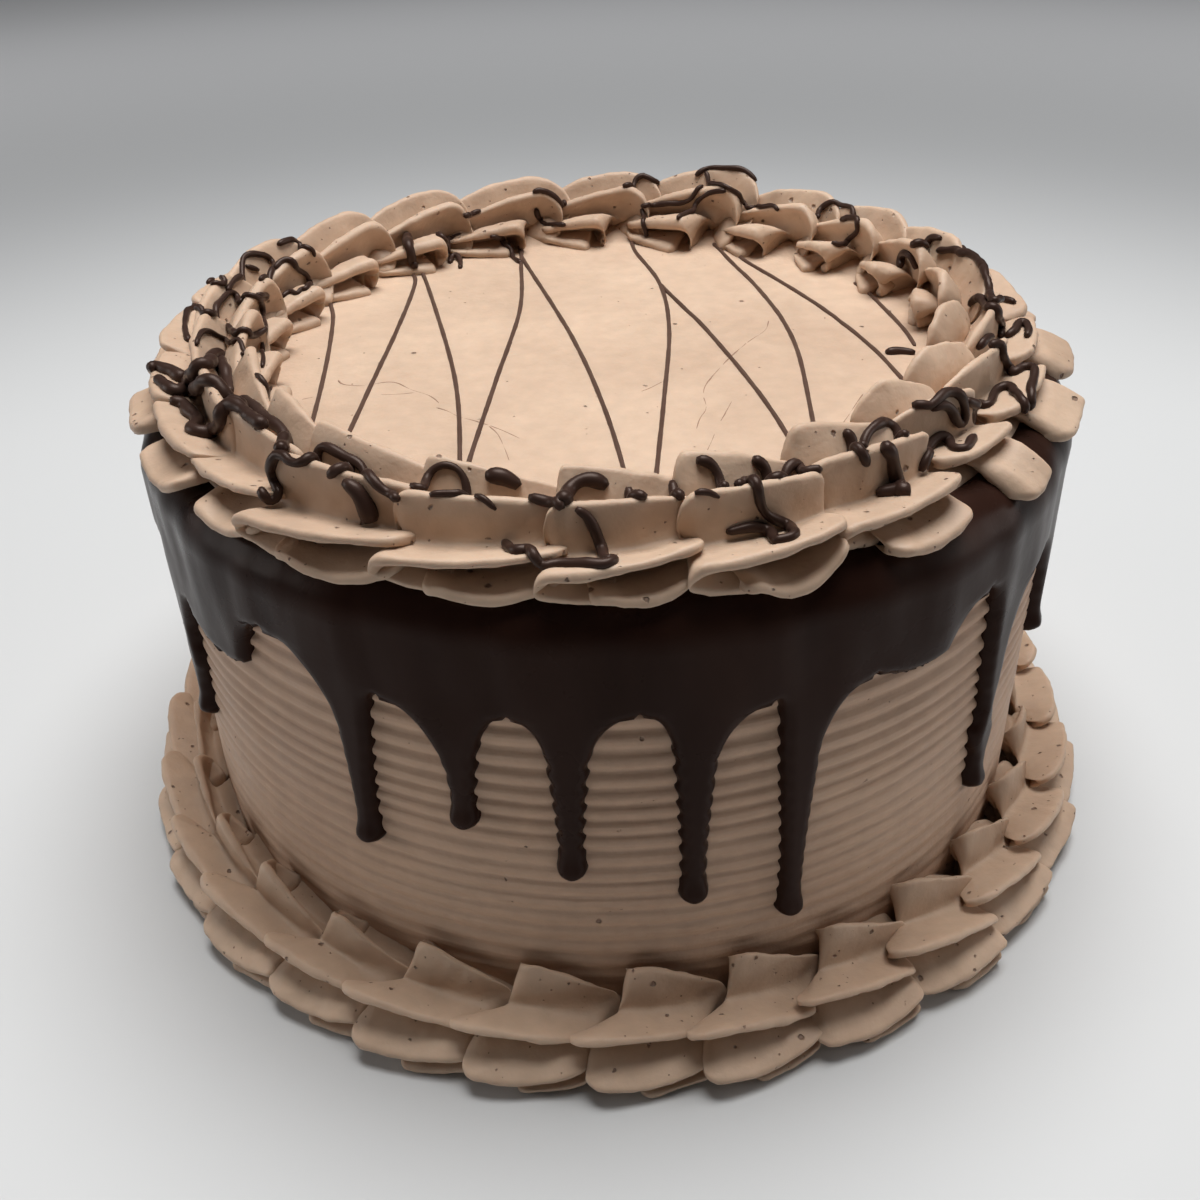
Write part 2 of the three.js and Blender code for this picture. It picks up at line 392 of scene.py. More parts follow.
cake = {
    "radius": 104.3,
    "height": 112.0,
    "steps": 300,
    "baseRing": 60,  # radius of a ring in the flat base
    "foot": [(1.2, 0), (0.6, 0.8), (0.6, 8), (0.3, 14)],  # how far in from the side, and height
    "crests": [16.8, 21.1, 25.4, 29.6, 33.9, 38.2, 42.4, 46.1, 50.6, 55.1, 59.0, 62.9, 66.7, 71.1, 75.5,
               80.7, 85.2, 89.6, 94.0],  # heights of the comb's ridges
    "ridgeDepth": (0.34, 0.98),  # at the foot and near the top
    "rowsPerRidge": 9,
    "grooveSharpness": 1.7,
    "shoulder": 10.0,  # height of the sloping edge under the collar
    "shoulderBelow": 4,  # height of the plain side below it
    "shoulderIn": 0.6,
    "slope": 7.3,
    "bank": [(95.5, 112.6), (92.5, 113.8), (88.5, 113.8), (85, 112.9), (82, 112.0)],  # under the border
    "dome": 0.8,
    "topRings": (0.94, 14),  # the first ring's share of the flat top, and their number
    "broadWaves": (26, 0.5),  # size and strength in mm
    "combDrag": (5, 0.22),
}

# The comb's wavering by hand, as waves that lift the ridges and one that widens the cake by a share, and
# where it fades: start and width of the fade from below, from above and from the middle
waver = {
    "lift": [(0.30, 2, math.inf, 0.4), (0.20, 5, 17, 0), (0.09, 11, -9, 0)],
    "widen": (0.0022, 3, 30),
    "lower": (6, 10),
    "upper": (106, 6),
    "inner": (90, 8),
}


def combProfile():  # rows of radius and height from the first ridge to the last
    rows = []
    crests = cake["crests"]
    shallow, deep = cake["ridgeDepth"]
    for low, high in zip(crests[:-1], crests[1:]):
        for step in range(cake["rowsPerRidge"]):
            share = step / cake["rowsPerRidge"]
            z = low + (high - low) * share
            groove = (0.5 - 0.5 * math.cos(2 * math.pi * share)) ** cake["grooveSharpness"]
            depth = shallow + (deep - shallow) * (z - crests[0]) / (crests[-1] - crests[0])
            rows.append((cake["radius"] - depth * groove, z))
    return rows


def cakeProfile():
    side = cake["radius"]
    slope = cake["slope"]
    shoulderZ = cake["height"] - cake["shoulder"]
    rows = [(0, 0), (cake["baseRing"], 0)]
    rows += [(side - inwards, z) for inwards, z in cake["foot"]]
    rows += combProfile()
    rows += [(side, cake["crests"][-1]), (side, shoulderZ - cake["shoulderBelow"])]
    rows.append((side - cake["shoulderIn"], shoulderZ))
    rows += [(side - share * slope, shoulderZ + share * slope) for share in (0.5, 1)]
    rows += cake["bank"]
    flat = rows[-1][0]
    first, count = cake["topRings"]
    for share in np.linspace(first, 0, count):
        rows.append((flat * share, cake["height"] + cake["dome"] * (1 - share * share)))
    return rows


def buildCake():
    rows = cakeProfile()
    mesh = bpy.data.meshes.new("iced_cake")
    edges = [(i, i + 1) for i in range(len(rows) - 1)]
    mesh.from_pydata([(r * mm, 0, z * mm) for r, z in rows], edges, [])
    piece = linkObject("iced_cake", mesh)
    bpy.ops.object.mode_set(mode="EDIT")
    bpy.ops.mesh.select_all(action="SELECT")
    bpy.ops.mesh.spin(steps=cake["steps"], angle=2 * math.pi, center=(0, 0, 0), axis=(0, 0, 1))
    bpy.ops.object.mode_set(mode="OBJECT")
    closeSeams(piece)
    unevenSide(piece)
    for name in ("broadWaves", "combDrag"):
        size, strength = cake[name]
        roughen(piece, cloudTexture(name, size), strength)
    return piece


def unevenSide(piece):
    points = vertexPoints(piece) / mm
    angle = np.arctan2(points[:, 0], -points[:, 1])
    radius = np.hypot(points[:, 0], points[:, 1])
    z = points[:, 2]
    lower, lowerFade = waver["lower"]
    upper, upperFade = waver["upper"]
    inner, innerFade = waver["inner"]
    onSide = smoothStep((z - lower) / lowerFade) * smoothStep((upper - z) / upperFade)
    onSide = onSide * smoothStep((radius - inner) / innerFade)
    points[:, 2] += onSide * waveSum(angle, z, waver["lift"])
    share, count, climb = waver["widen"]
    wider = 1 + onSide * share * np.sin(count * angle + points[:, 2] / climb)
    points[:, :2] *= wider[:, None]
    moveVertices(piece, points * mm)


icedCake = buildCake()
finishPiece(icedCake, sideIcing, "icing", "cake")
print("cake", len(icedCake.data.polygons))


# The chocolate collar: one sheet of columns for each drip, joined into a ring and given thickness

collar = {
    "rimRadius": 102.7,  # the glaze's edge is sunk in the icing
    "rimRound": 2.3,
    "thickness": 2.3,
    "sheet": 0.9,  # thickness of the closed sheet that shows it
    "rowStep": 0.7,
    "rowGap": 0.25,  # least height between the rows of a round tip and the next row
    "rowSlack": 0.01,  # a row this near to an arch's own counts as its own
    "columns": 17,
    "tipRows": 8,
    "rootHalf": 4.7,
    "neckHalf": 2.8,
    "neckEnd": 0.8,  # share of a drip's length over which it narrows
    "tipHeight": 3.5,  # of a drip's round tip
    "bulbFrom": 3.0,  # a drip whose tip is lower than this has no bulb
    "bulbHalf": 3.35,
    "bulbWidth": (2.4, 2.6),  # height above the tip and reach
    "bulbThickness": 3.3,
    "bulbDepth": (2.2, 3.0),  # height above the tip and reach
    "swellings": [(1.3, 0, 3.6), (-0.8, 9, 4.0)],  # how much wider, height above the swelling, reach
    "ripple": 0.08,  # sideways, where the glaze ran into the comb's grooves
    "rippleFrom": 5,  # above the tip
    "rippleTo": 0.55,  # as a share of the arch's drop
    "rippleFade": 4,
    "archDrop": (5, 17),  # least and most
    "archSlope": (0.85, 2),  # drop for each mm of the arch's reach, and what is added
    "archHeight": 87.0,
    "folds": [(0.34, 9, math.inf, 1.3), (0.26, 17, 24, 0), (0.18, 33, -15, 0), (0.12, 57, 9, 0)],
    "foldsFrom": (78, 14),  # height at which the upright folds begin, and how far they take to grow
    "foldsOver": 0.8,  # share of the folds that goes over the rounded edge
    "topRow": 102.0,
    "shoulder": 10.0,
    "shoulderRows": 10,
    "innerRadius": 91.0,
    "innerDrop": 0.6,  # how far the inner end dips under the icing's top
}

# Drips of the front: angle, tip height, angle and height of the arch to the right, then where it differs
# from the usual drip: half widths left and right, height of the round tip, height of a swelling, ripple
frontDrips = [
    {"angle": -78, "tip": 52, "arch": (-71, 88)},
    {"angle": -63.7, "tip": 45, "arch": (-58.5, 82), "swell": 61.5},
    {"angle": -49.5, "tip": 77.6, "arch": (-40, 92.5), "halves": (11.5, 9), "tipHeight": 2.6},
    {"angle": -28.9, "tip": 46.1, "arch": (-25.2, 86.1)},
    {"angle": -16.6, "tip": 57.2, "arch": (-11, 85.8), "ripple": 0.17},
    {"angle": -5.2, "tip": 46.5, "arch": (2.1, 87.4), "ripple": 0.26},
    {"angle": 7.9, "tip": 38.6, "arch": (15.9, 86.3), "ripple": 0.22},
    {"angle": 19.3, "tip": 29.1, "arch": (27.5, 85.6), "ripple": 0.11},
    {"angle": 33.5, "tip": 83.4, "arch": (44, 92.7), "halves": (3, 6), "tipHeight": 1.4},
    {"angle": 49, "tip": 35.6, "arch": (59.5, 88), "swell": 51},
    {"angle": 68, "tip": 57, "arch": (76.5, 87)},
]
backDrips = {
    "count": 11,
    "height": 49,
    "variation": 13,
    "scatter": 0.16,  # sideways, as a share of the step from drip to drip
    "archScatter": 0.15,
    "archVariation": 2.5,
}


def allDrips():
    drips = [dict(drip) for drip in frontDrips]
    first = frontDrips[0]["angle"]
    last = frontDrips[-1]["angle"]
    step = (360 + first - last) / (backDrips["count"] + 1)
    for i in range(1, backDrips["count"] + 1):
        angle = last + step * (i + backDrips["scatter"] * uneven(i, "dripAngle"))
        tip = backDrips["height"] + backDrips["variation"] * uneven(i, "dripTip")
        drips.append({"angle": angle, "tip": tip})
    for i, drip in enumerate(drips):
        after = drips[(i + 1) % len(drips)]["angle"] + (360 if i + 1 == len(drips) else 0)
        share = 0.5 + backDrips["archScatter"] * uneven(i, "archAngle")
        height = collar["archHeight"] + backDrips["archVariation"] * uneven(i, "archHeight")
        drip.setdefault("arch", (drip["angle"] + (after - drip["angle"]) * share, height))
        for name in ("tipHeight", "ripple"):
            drip.setdefault(name, collar[name])
        drip.setdefault("halves", (collar["rootHalf"], collar["rootHalf"]))
        drip["bulb"] = drip["tipHeight"] >= collar["bulbFrom"]
    return drips


def snapToRow(height):
    return collar["topRow"] - collar["rowStep"] * round((collar["topRow"] - height) / collar["rowStep"])


def combWave(z):  # 1 in the comb's grooves, -1 on its ridges
    crests = np.array(cake["crests"])
    phase = np.interp(z, crests, np.arange(len(crests)))
    return -np.cos(2 * math.pi * phase)


def edgeOffset(z, drip, archZ, reach, half):  # from a drip's middle to its edge, in mm round the cake
    tip = drip["tip"]
    perReach, more = collar["archSlope"]
    drop = np.clip(perReach * reach + more, *collar["archDrop"])
    down = np.clip((archZ - z) / max(archZ - tip, 1), 0, 1)
    neck = min(collar["neckHalf"], half) if drip["bulb"] else half
    width = half + (neck - half) * smoothStep(down / collar["neckEnd"])
    width = width + max(collar["bulbHalf"] - neck, 0) * hump(z - tip, *collar["bulbWidth"])
    if "swell" in drip:
        for wider, above, span in collar["swellings"]:
            width = width + wider * hump(z - drip["swell"], above, span)
    inNeck = smoothStep((z - tip - collar["rippleFrom"]) / collar["rippleFade"])
    inNeck = inNeck * smoothStep((archZ - drop * collar["rippleTo"] - z) / collar["rippleFade"])
    width = width + drip["ripple"] * combWave(z) * inNeck
    spread = 1 - roundEdge((archZ - z) / drop)
    offset = width + (reach - width) * spread
    offset = offset * roundEdge((z - tip) / drip["tipHeight"])
    return np.where(z >= archZ - 1e-6, reach, offset)


def dripSheet(drip, before):  # angle and height of each vertex of one drip's part of the collar
    perDegree = cake["radius"] * math.pi / 180
    rightAngle, rightZ = drip["arch"]
    leftAngle, leftZ = before["arch"]
    leftReach = ((drip["angle"] - leftAngle) % 360) * perDegree
    rightReach = ((rightAngle - drip["angle"]) % 360) * perDegree
    leftHalf, rightHalf = drip["halves"]
    tipTurn = np.radians(np.linspace(0, 90, collar["tipRows"]))
    tipRows = drip["tip"] + drip["tipHeight"] * (1 - np.cos(tipTurn))
    firstRow = math.floor((collar["topRow"] - tipRows[-1] - collar["rowGap"]) / collar["rowStep"])
    rows = collar["topRow"] - collar["rowStep"] * np.arange(firstRow, -1, -1)
    z = np.concatenate([tipRows, rows])
    left = edgeOffset(z, drip, snapToRow(leftZ), leftReach, leftHalf)
    right = edgeOffset(z, drip, snapToRow(rightZ), rightReach, rightHalf)
    across = np.sin(np.linspace(-0.5, 0.5, collar["columns"]) * math.pi)
    offset = np.where(across < 0, across * left[:, None], across * right[:, None])
    angle = drip["angle"] + offset / perDegree
    freeLeft = z < snapToRow(leftZ) + collar["rowSlack"]
    freeRight = z < snapToRow(rightZ) + collar["rowSlack"]
    return angle, np.broadcast_to(z[:, None], angle.shape), freeLeft, freeRight


def rimTree(sheets):  # search tree of the free edges of all sheets
    rim = []
    for angle, z, freeLeft, freeRight in sheets:
        points = aroundCake(cake["radius"], angle, z)
        rim += list(points[freeLeft, 0]) + list(points[freeRight, -1])
    tree = KDTree(len(rim))
    for i, point in enumerate(rim):
        tree.insert(point, i)
    tree.balance()
    return tree


def glazeRadius(drip, angle, z, tree):  # rounded down to the icing along the free edges
    flat = aroundCake(cake["radius"], angle, z)
    depth = np.array([tree.find(point)[2] for point in flat.reshape(-1, 3)]).reshape(angle.shape) / mm
    bulb = hump(z - drip["tip"], *collar["bulbDepth"]) if drip["bulb"] else 0 * z
    thick = collar["thickness"] + (collar["bulbThickness"] - collar["thickness"]) * bulb
    start, growth = collar["foldsFrom"]
    thick = thick + waveSum(np.radians(angle), z, collar["folds"]) * smoothStep((z - start) / growth)
    high = cake["radius"] + thick - collar["rimRadius"]
    return collar["rimRadius"] + high * roundEdge(depth / collar["rimRound"])


def shoulderRows(angle, radius):  # from the side over the rounded edge to under the border
    bend = collar["shoulder"]
    outer = cake["radius"] + collar["thickness"]
    rows = [aroundCake(radius, angle, collar["topRow"])]
    for turn in np.radians(np.linspace(90 / collar["shoulderRows"], 90, collar["shoulderRows"])):
        wave = (radius - cake["radius"] - collar["thickness"]) * math.cos(turn) * collar["foldsOver"]
        out = outer - bend + bend * math.cos(turn) + wave
        rows.append(aroundCake(out, angle, collar["topRow"] + bend * math.sin(turn)))
    rows.append(aroundCake(collar["innerRadius"], angle, cake["height"] - collar["innerDrop"]))
    return np.array(rows)


def buildCollar():
    drips = allDrips()
    sheets = [dripSheet(drip, drips[i - 1]) for i, drip in enumerate(drips)]
    tree = rimTree(sheets)
    parts = []
    for drip, (angle, z, freeLeft, freeRight) in zip(drips, sheets):
        radius = glazeRadius(drip, angle, z, tree)
        parts.append(gridPiece("drip", aroundCake(radius, angle, z)))
        parts.append(gridPiece("shoulder", shoulderRows(angle[-1], radius[-1])))
    bpy.ops.object.select_all(action="DESELECT")
    for part in parts:
        part.select_set(True)
    bpy.context.view_layer.objects.active = parts[0]
    bpy.ops.object.join()
    piece = bpy.context.active_object
    rename(piece, "chocolate_glaze")
    closeSeams(piece)
    applyModifier(piece, "SOLIDIFY", thickness=collar["sheet"] * mm, offset=-1.0)
    closeSeams(piece, distance=0.005)
    return piece


glaze = buildCollar()
finishPiece(glaze, glazeChocolate, "chocolate", "chocolate_collar")
print("collar", len(glaze.data.polygons))


# Piped shells: a star section whose fins each roll over at the head and run out along the tail

# What a fin may say beside its tip, its start, half its edge's thickness and its tail's size. Tip and start
# are across the border and up. A shell has a share of swirl and a turn outwards, which change some of these
usualFin = {
    "plainRise": 0,  # how much higher the tip is without a swirl
    "swirlReach": 0,  # how much further in the tip is with one
    "lag": 0,  # how far the start is set back
    "swirl": 0,  # the same, added by the swirl
    "curl": 0.6,  # how far the start turns back under its head, as a share of its reach
    "swirlCurl": 0,  # the same, added by the swirl
    "lift": 0,  # moves the fin's end up
    "sag": 0,  # moves its middle down
    "taper": 0.4,  # how much the shell's own tail size counts for it
    "late": 1.3,  # how suddenly it shrinks
    "further": 0,  # how far a swirled end runs past the others
    "belly": 0,  # swelling of the side that faces inwards
    "hook": 0,  # bend of the whole fin
    "swirlHook": 0,
    "turnedHook": 0,
    "shift": 0,  # how much of the shell's shift across the border it takes on
    "flat": 0,  # how straight its sides are
    "lobe": 0,  # how much larger it is when turned outwards
    "droop": 0,  # degrees by which it hangs when turned outwards
}


def makeFin(tip, start, half, tail, **changes):  # changes tell its roll: reach in mm, or rise as a share
    return {**usualFin, "tip": tip, "start": start, "half": half, "tail": tail, **changes}


topShell = {
    "name": "top_shell",
    "radius": 91.0,
    "seat": 112.2,
    "heads": [-175, -156, -139, -122, -105, -88.5, -71.7, -55, -40, -23, -7, 6.5, 21, 37, 52, 70, 87, 104,
              119, 134, 150, 168],
    "fins": [  # from the outer foot over the top to the inner foot
        makeFin((15.8, 0.8), (10.5, 0.2), 1.1, turnedStart=(8.5, 0.2), lag=7.5, reach=3.0, curl=0.2,
                lift=2.2, sag=2.6, tail=0.90, late=2.4, belly=0.4, shift=0.3, lobe=0.35, droop=14,
                turnedHook=-2.0),
        makeFin((15.6, 6.2), (13.2, -1.4), 1.1, turnedStart=(9.0, 3.0), reach=3.6, curl=2.3, lift=2.0,
                sag=0.2, tail=0.84, late=3.0, shift=1, flat=0.45),
        makeFin((5.0, 14.8), (5.0, 2.5), 1.0, swirlStart=(-6.5, 2.5), rise=1.0, swirlCurl=-1.2, tail=0.93,
                taper=1.0, late=2.4, hook=0.2, shift=1, flat=0.45),
        makeFin((-5.6, 13.8), (-3.5, 3.0), 1.2, plainRise=3.2, swirlStart=(-9.8, 1.2), rise=0.7,
                swirlCurl=-1.1, lift=-1.0, tail=0.66, taper=0.7, further=2, hook=1.4, swirlHook=1.0,
                shift=1),
        makeFin((-12.6, 7.4), (-12.0, 0.8), 1.2, swirlReach=3.2, lag=4, swirl=6, reach=3.6,
                swirlCurl=-1.0, lift=-1.0, tail=0.5, taper=0.5, further=4, hook=1.2, swirlHook=0.4,
                shift=0.4),
        makeFin((-13.0, 0.4), (-11.0, -1.0), 1.0, swirlReach=3.4, lag=7, swirl=7, reach=2.4,
                swirlCurl=-0.8, tail=0.6, taper=0.5, further=4, shift=0.2),
    ],
    "grooves": [(5.5, -1.8), (6.4, 1.6), (6.4, 4.9), (-0.4, 6.0), (-5.0, 4.6), (-8.2, 2.4), (-8.1, -1.0)],
    "core": (0.0, 2.8),
    "unevenSize": 0.06,
    "swirlSize": 0.10,  # how much a fully swirled shell is larger
    "taller": {20: 0.28},  # a shell of the back that stands above the rest
    # Head angle, then the rise of the crest in mm, the tail's size, how far the shell is turned outwards,
    # the share of the swirl, how far the tail runs under the next head, the edges' thickness, how far the
    # shell is set inwards in mm, how square its head turns, below 1 being a tighter corner, and how soft
    # the creases between its fins are
    "moods": [
        (-180, 10, 0.52, 0, 1.0, 5, 1.35, 0, 0.95, 0.2), (-122, 9, 0.58, 3, 0.9, 5, 1.3, -1, 0.95, 0.2),
        (-88, 6, 0.80, 7, 0.6, 4, 1.15, -5, 0.9, 0.5), (-55, 4, 0.96, 5, 0.3, 3, 1.05, -4, 0.8, 0.4),
        (-40, 3, 0.95, -3, 0.0, 3, 1.0, 0, 0.72, 0), (-7, 3, 0.95, -6, 0.0, 3, 1.0, 0, 0.72, 0),
        (6.5, 4, 0.97, -4, 0.0, 3, 1.0, -0.5, 0.8, 0.1), (21, 6, 1.0, 5, 0.1, 2.5, 1.0, -3, 0.9, 0.4),
        (37, 12, 1.0, 14, 0.2, 1.5, 1.0, -8, 1.25, 0.8), (70, 12, 1.0, 14, 0.3, 1.5, 1.05, -8, 1.2, 0.9),
        (104, 9, 0.75, 4, 0.7, 4, 1.25, -2, 1.0, 0.3), (134, 10, 0.56, 0, 1.0, 5, 1.35, 0, 0.95, 0.2),
        (180, 10, 0.52, 0, 1.0, 5, 1.35, 0, 0.95, 0.2),
    ],
}
footShell = {
    "name": "foot_shell",
    "radius": 111.0,
    "seat": 0.0,
    "heads": [-5.4 + 12 * i - (360 if i > 15 else 0) for i in range(30)],  # all within 180 of the front
    "fins": [
        makeFin((11.4, 1.3), (8.0, 0.6), 0.85, lag=9, reach=2.2, lift=1.2, tail=0.94, taper=0.5),
        makeFin((12.6, 5.6), (6.5, 8.0), 1.15, lag=1.0, reach=4.6, lift=1.4, sag=1.0, tail=0.84,
                taper=0.6, late=2.2, belly=2.7),
        makeFin((9.4, 17.4), (3.5, 13.5), 1.05, lag=-1.0, reach=5.4, curl=0.4, lift=-3.4, sag=0.4,
                tail=0.78, taper=1.0, late=2.0, flat=0.3),
        makeFin((-3.0, 24.0), (-9.0, 18.0), 0.85, swirl=9.5, rise=0.75, lift=-1.0, sag=0.6, tail=0.24,
                late=1.2, further=6, hook=0.6, shift=1, corner=0.85, flat=0.3),
        makeFin((-8.8, 17.6), (-8.0, 10.0), 1.0, lag=5, swirl=8, reach=3.0, lift=-3.0, tail=0.7,
                further=6, hook=0.4, shift=0.35),
    ],
    "grooves": [(6.0, 0.3), (6.4, 2.6), (3.0, 10.5), (-1.0, 14.0), (-4.8, 15.2), (-8.2, 11.0), (-8.4, 0.3)],
    "core": (0.0, 5.5),
    "unevenSize": 0.06,
    "swirlSize": 0.0,
    "taller": {},
    "moods": [
        (-180, 6, 0.82, 0, 0.8, 4, 1.1, 1.5, 0.9, 0.4), (-70, 6, 0.92, -2, 1.0, 3, 1.25, 3, 0.95, 0.2),
        (-20, 6, 0.92, -6, 1.0, 3, 1.0, 0, 0.95, 0), (6, 6, 0.92, -5, 1.0, 3, 1.0, 0, 0.95, 0),
        (30, 5, 1.05, 9, 0.7, 2.5, 1.0, 0, 1.0, 0.3), (80, 6, 1.05, 10, 0.7, 2.5, 1.0, 0, 1.0, 0.4),
        (130, 6, 0.88, 3, 0.8, 4, 1.1, 0, 0.9, 0.4), (180, 6, 0.82, 0, 0.8, 4, 1.1, 0, 0.9, 0.4),
    ],
}
piping = {
    "moodNames": ("rise", "tail", "turned", "swirl", "under", "thick", "shift", "corner", "soft"),
    "outwards": 14.0,  # degrees of turn at which a lobe is largest and a curl gone
    # The section: shares of the way from a groove to a fin's edge and back, steps along its sides, then in
    # half thicknesses where its rounded edge begins and how far back and wide the rounding is
    "shares": (0, 0.30, 0.65, 0.94, 1, 1, 1, 0.94, 0.65, 0.30),
    "flankSteps": (0.22, 0.58, 1.0),
    "edgeStart": 1.1,
    "edgeRound": (0.25, 0.8),
    "bendAt": (0.14, 0.22, 0.09),  # share of a fin's length: plain, soft, for each mm of belly
    "bendWidth": (1.15, 0.8),  # in half thicknesses: plain, soft
    "hookPull": 1.6,
    # The head
    "headTurns": np.linspace(-90, 90, 15),
    "headMiddle": 0.45,  # size of the fins half way round the head
    "headGrowth": 1.2,
    "headCorner": 0.1,
    "headCore": 0.5,  # size of the core where a shell starts
    "headEnd": 0.4,  # height of the closing point, as a share of the core's
    "grooveReach": 0.45,  # roll of the grooves, as a share of the fins'
    "sink": 0.6,  # how far a swirled head starts below the rest
    # The tail
    "tailRings": 12,
    "tailCore": (0.55, 0.4),  # size of the core at the end: plain, and for the shell's tail size
    "tailEnd": 0.6,  # height of the closing point, as a share of the core's
    "liftCurve": 1.6,
    "closing": ((0.8, 0.72), (1.2, 0.35)),  # how far on and how small the last rings are
    "closingCore": (0.4, 0.6),
    "footing": 0.2,  # least height above the floor
    "uneven": {"curl": 0.3, "lift": 0.4, "sag": 0.6, "rise": 0.12, "turned": 2.0},
    "drawsPerShell": 7,
    "waves": (9, 1.1),  # size and strength of the surface's unevenness in mm
    "lumps": (3, 0.5),
}


def turnedOut(mood):  # share of the full turn outwards
    return np.clip(mood["turned"] / piping["outwards"], 0, 1)


def finTip(fin, mood):  # edge of a fin, higher without a swirl and further inwards with one
    rise = fin["plainRise"] * (1 - mood["swirl"])
    return np.array(fin["tip"]) + [-fin["swirlReach"] * mood["swirl"], rise]


def finPoints(groove, fin, after, mood):  # one fin of the star, from its groove to its edge and back
    groove = np.array(groove)
    after = np.array(after)
    tip = finTip(fin, mood)
    half = fin["half"] * mood["thick"]
    soft = mood["soft"]
    hook = fin["hook"] + fin["swirlHook"] * mood["swirl"]
    hook = hook + fin["turnedHook"] * turnedOut(mood)
    root = (groove + after) / 2
    length = np.linalg.norm(tip - root)
    along = (tip - root) / length
    side = np.array([-along[1], along[0]])
    if np.dot(groove - root, side) < 0:
        side = -side
    plainAt, softAt, bellyAt = piping["bendAt"]
    plainWidth, softWidth = piping["bendWidth"]
    roundBack, roundWidth = piping["edgeRound"]

    def flank(start, sign, belly):
        end = tip - along * half * piping["edgeStart"] + side * sign * half
        bend = root + along * length * (plainAt + softAt * soft + bellyAt * belly)
        width = half * (plainWidth + softWidth * soft) + belly
        bend = bend + side * (sign * width + hook * piping["hookPull"])
        bend = bend + ((start + end) / 2 - bend) * fin["flat"]
        steps = piping["flankSteps"]
        return [(1 - t) ** 2 * start + 2 * t * (1 - t) * bend + t * t * end for t in steps]

    back = tip - along * half * roundBack
    edge = [back + side * half * roundWidth, tip, back - side * half * roundWidth]
    return [groove] + flank(groove, 1, 0) + edge + flank(after, -1, fin["belly"])[::-1], root


def starSection(shell, mood):  # points of the section, each with its fin, its share of it and its groove
    grooves = shell["grooves"]
    finCount = len(shell["fins"])
    points, bases, fins, share, near = [], [], [], [], []
    for i, fin in enumerate(shell["fins"]):
        outline, root = finPoints(grooves[i], fin, grooves[i + 1], mood)
        for k, point in enumerate(outline):
            points.append(point)
            bases.append(root if k else point)
            fins.append(i)
            share.append(piping["shares"][k])
            near.append(i if k < len(outline) / 2 else i + 1)
    for k in list(range(finCount, len(grooves))) + [0]:
        points.append(np.array(grooves[k]))
        bases.append(np.array(grooves[k]))
        fins.append(min(k, finCount - 1))
        share.append(0)
        near.append(min(k, finCount))
    return {"points": np.array(points), "bases": np.array(bases), "fins": np.array(fins),
            "share": np.array(share), "near": np.array(near)}


def startTurns(shell, mood):  # how each fin is turned and shortened at its start, as complex factors
    turns = []
    core = shell["core"]
    for i, fin in enumerate(shell["fins"]):
        root = (np.array(shell["grooves"][i]) + np.array(shell["grooves"][i + 1])) / 2
        start = np.array(fin["start"])
        start = start + (np.array(fin.get("swirlStart", fin["start"])) - start) * mood["swirl"]
        start = start + (np.array(fin.get("turnedStart", start)) - start) * turnedOut(mood)
        rootThere = core + (root - core) * piping["headCore"]
        turns.append(complex(*(start - rootThere)) / complex(*(finTip(fin, mood) - root)))
    return np.array(turns)


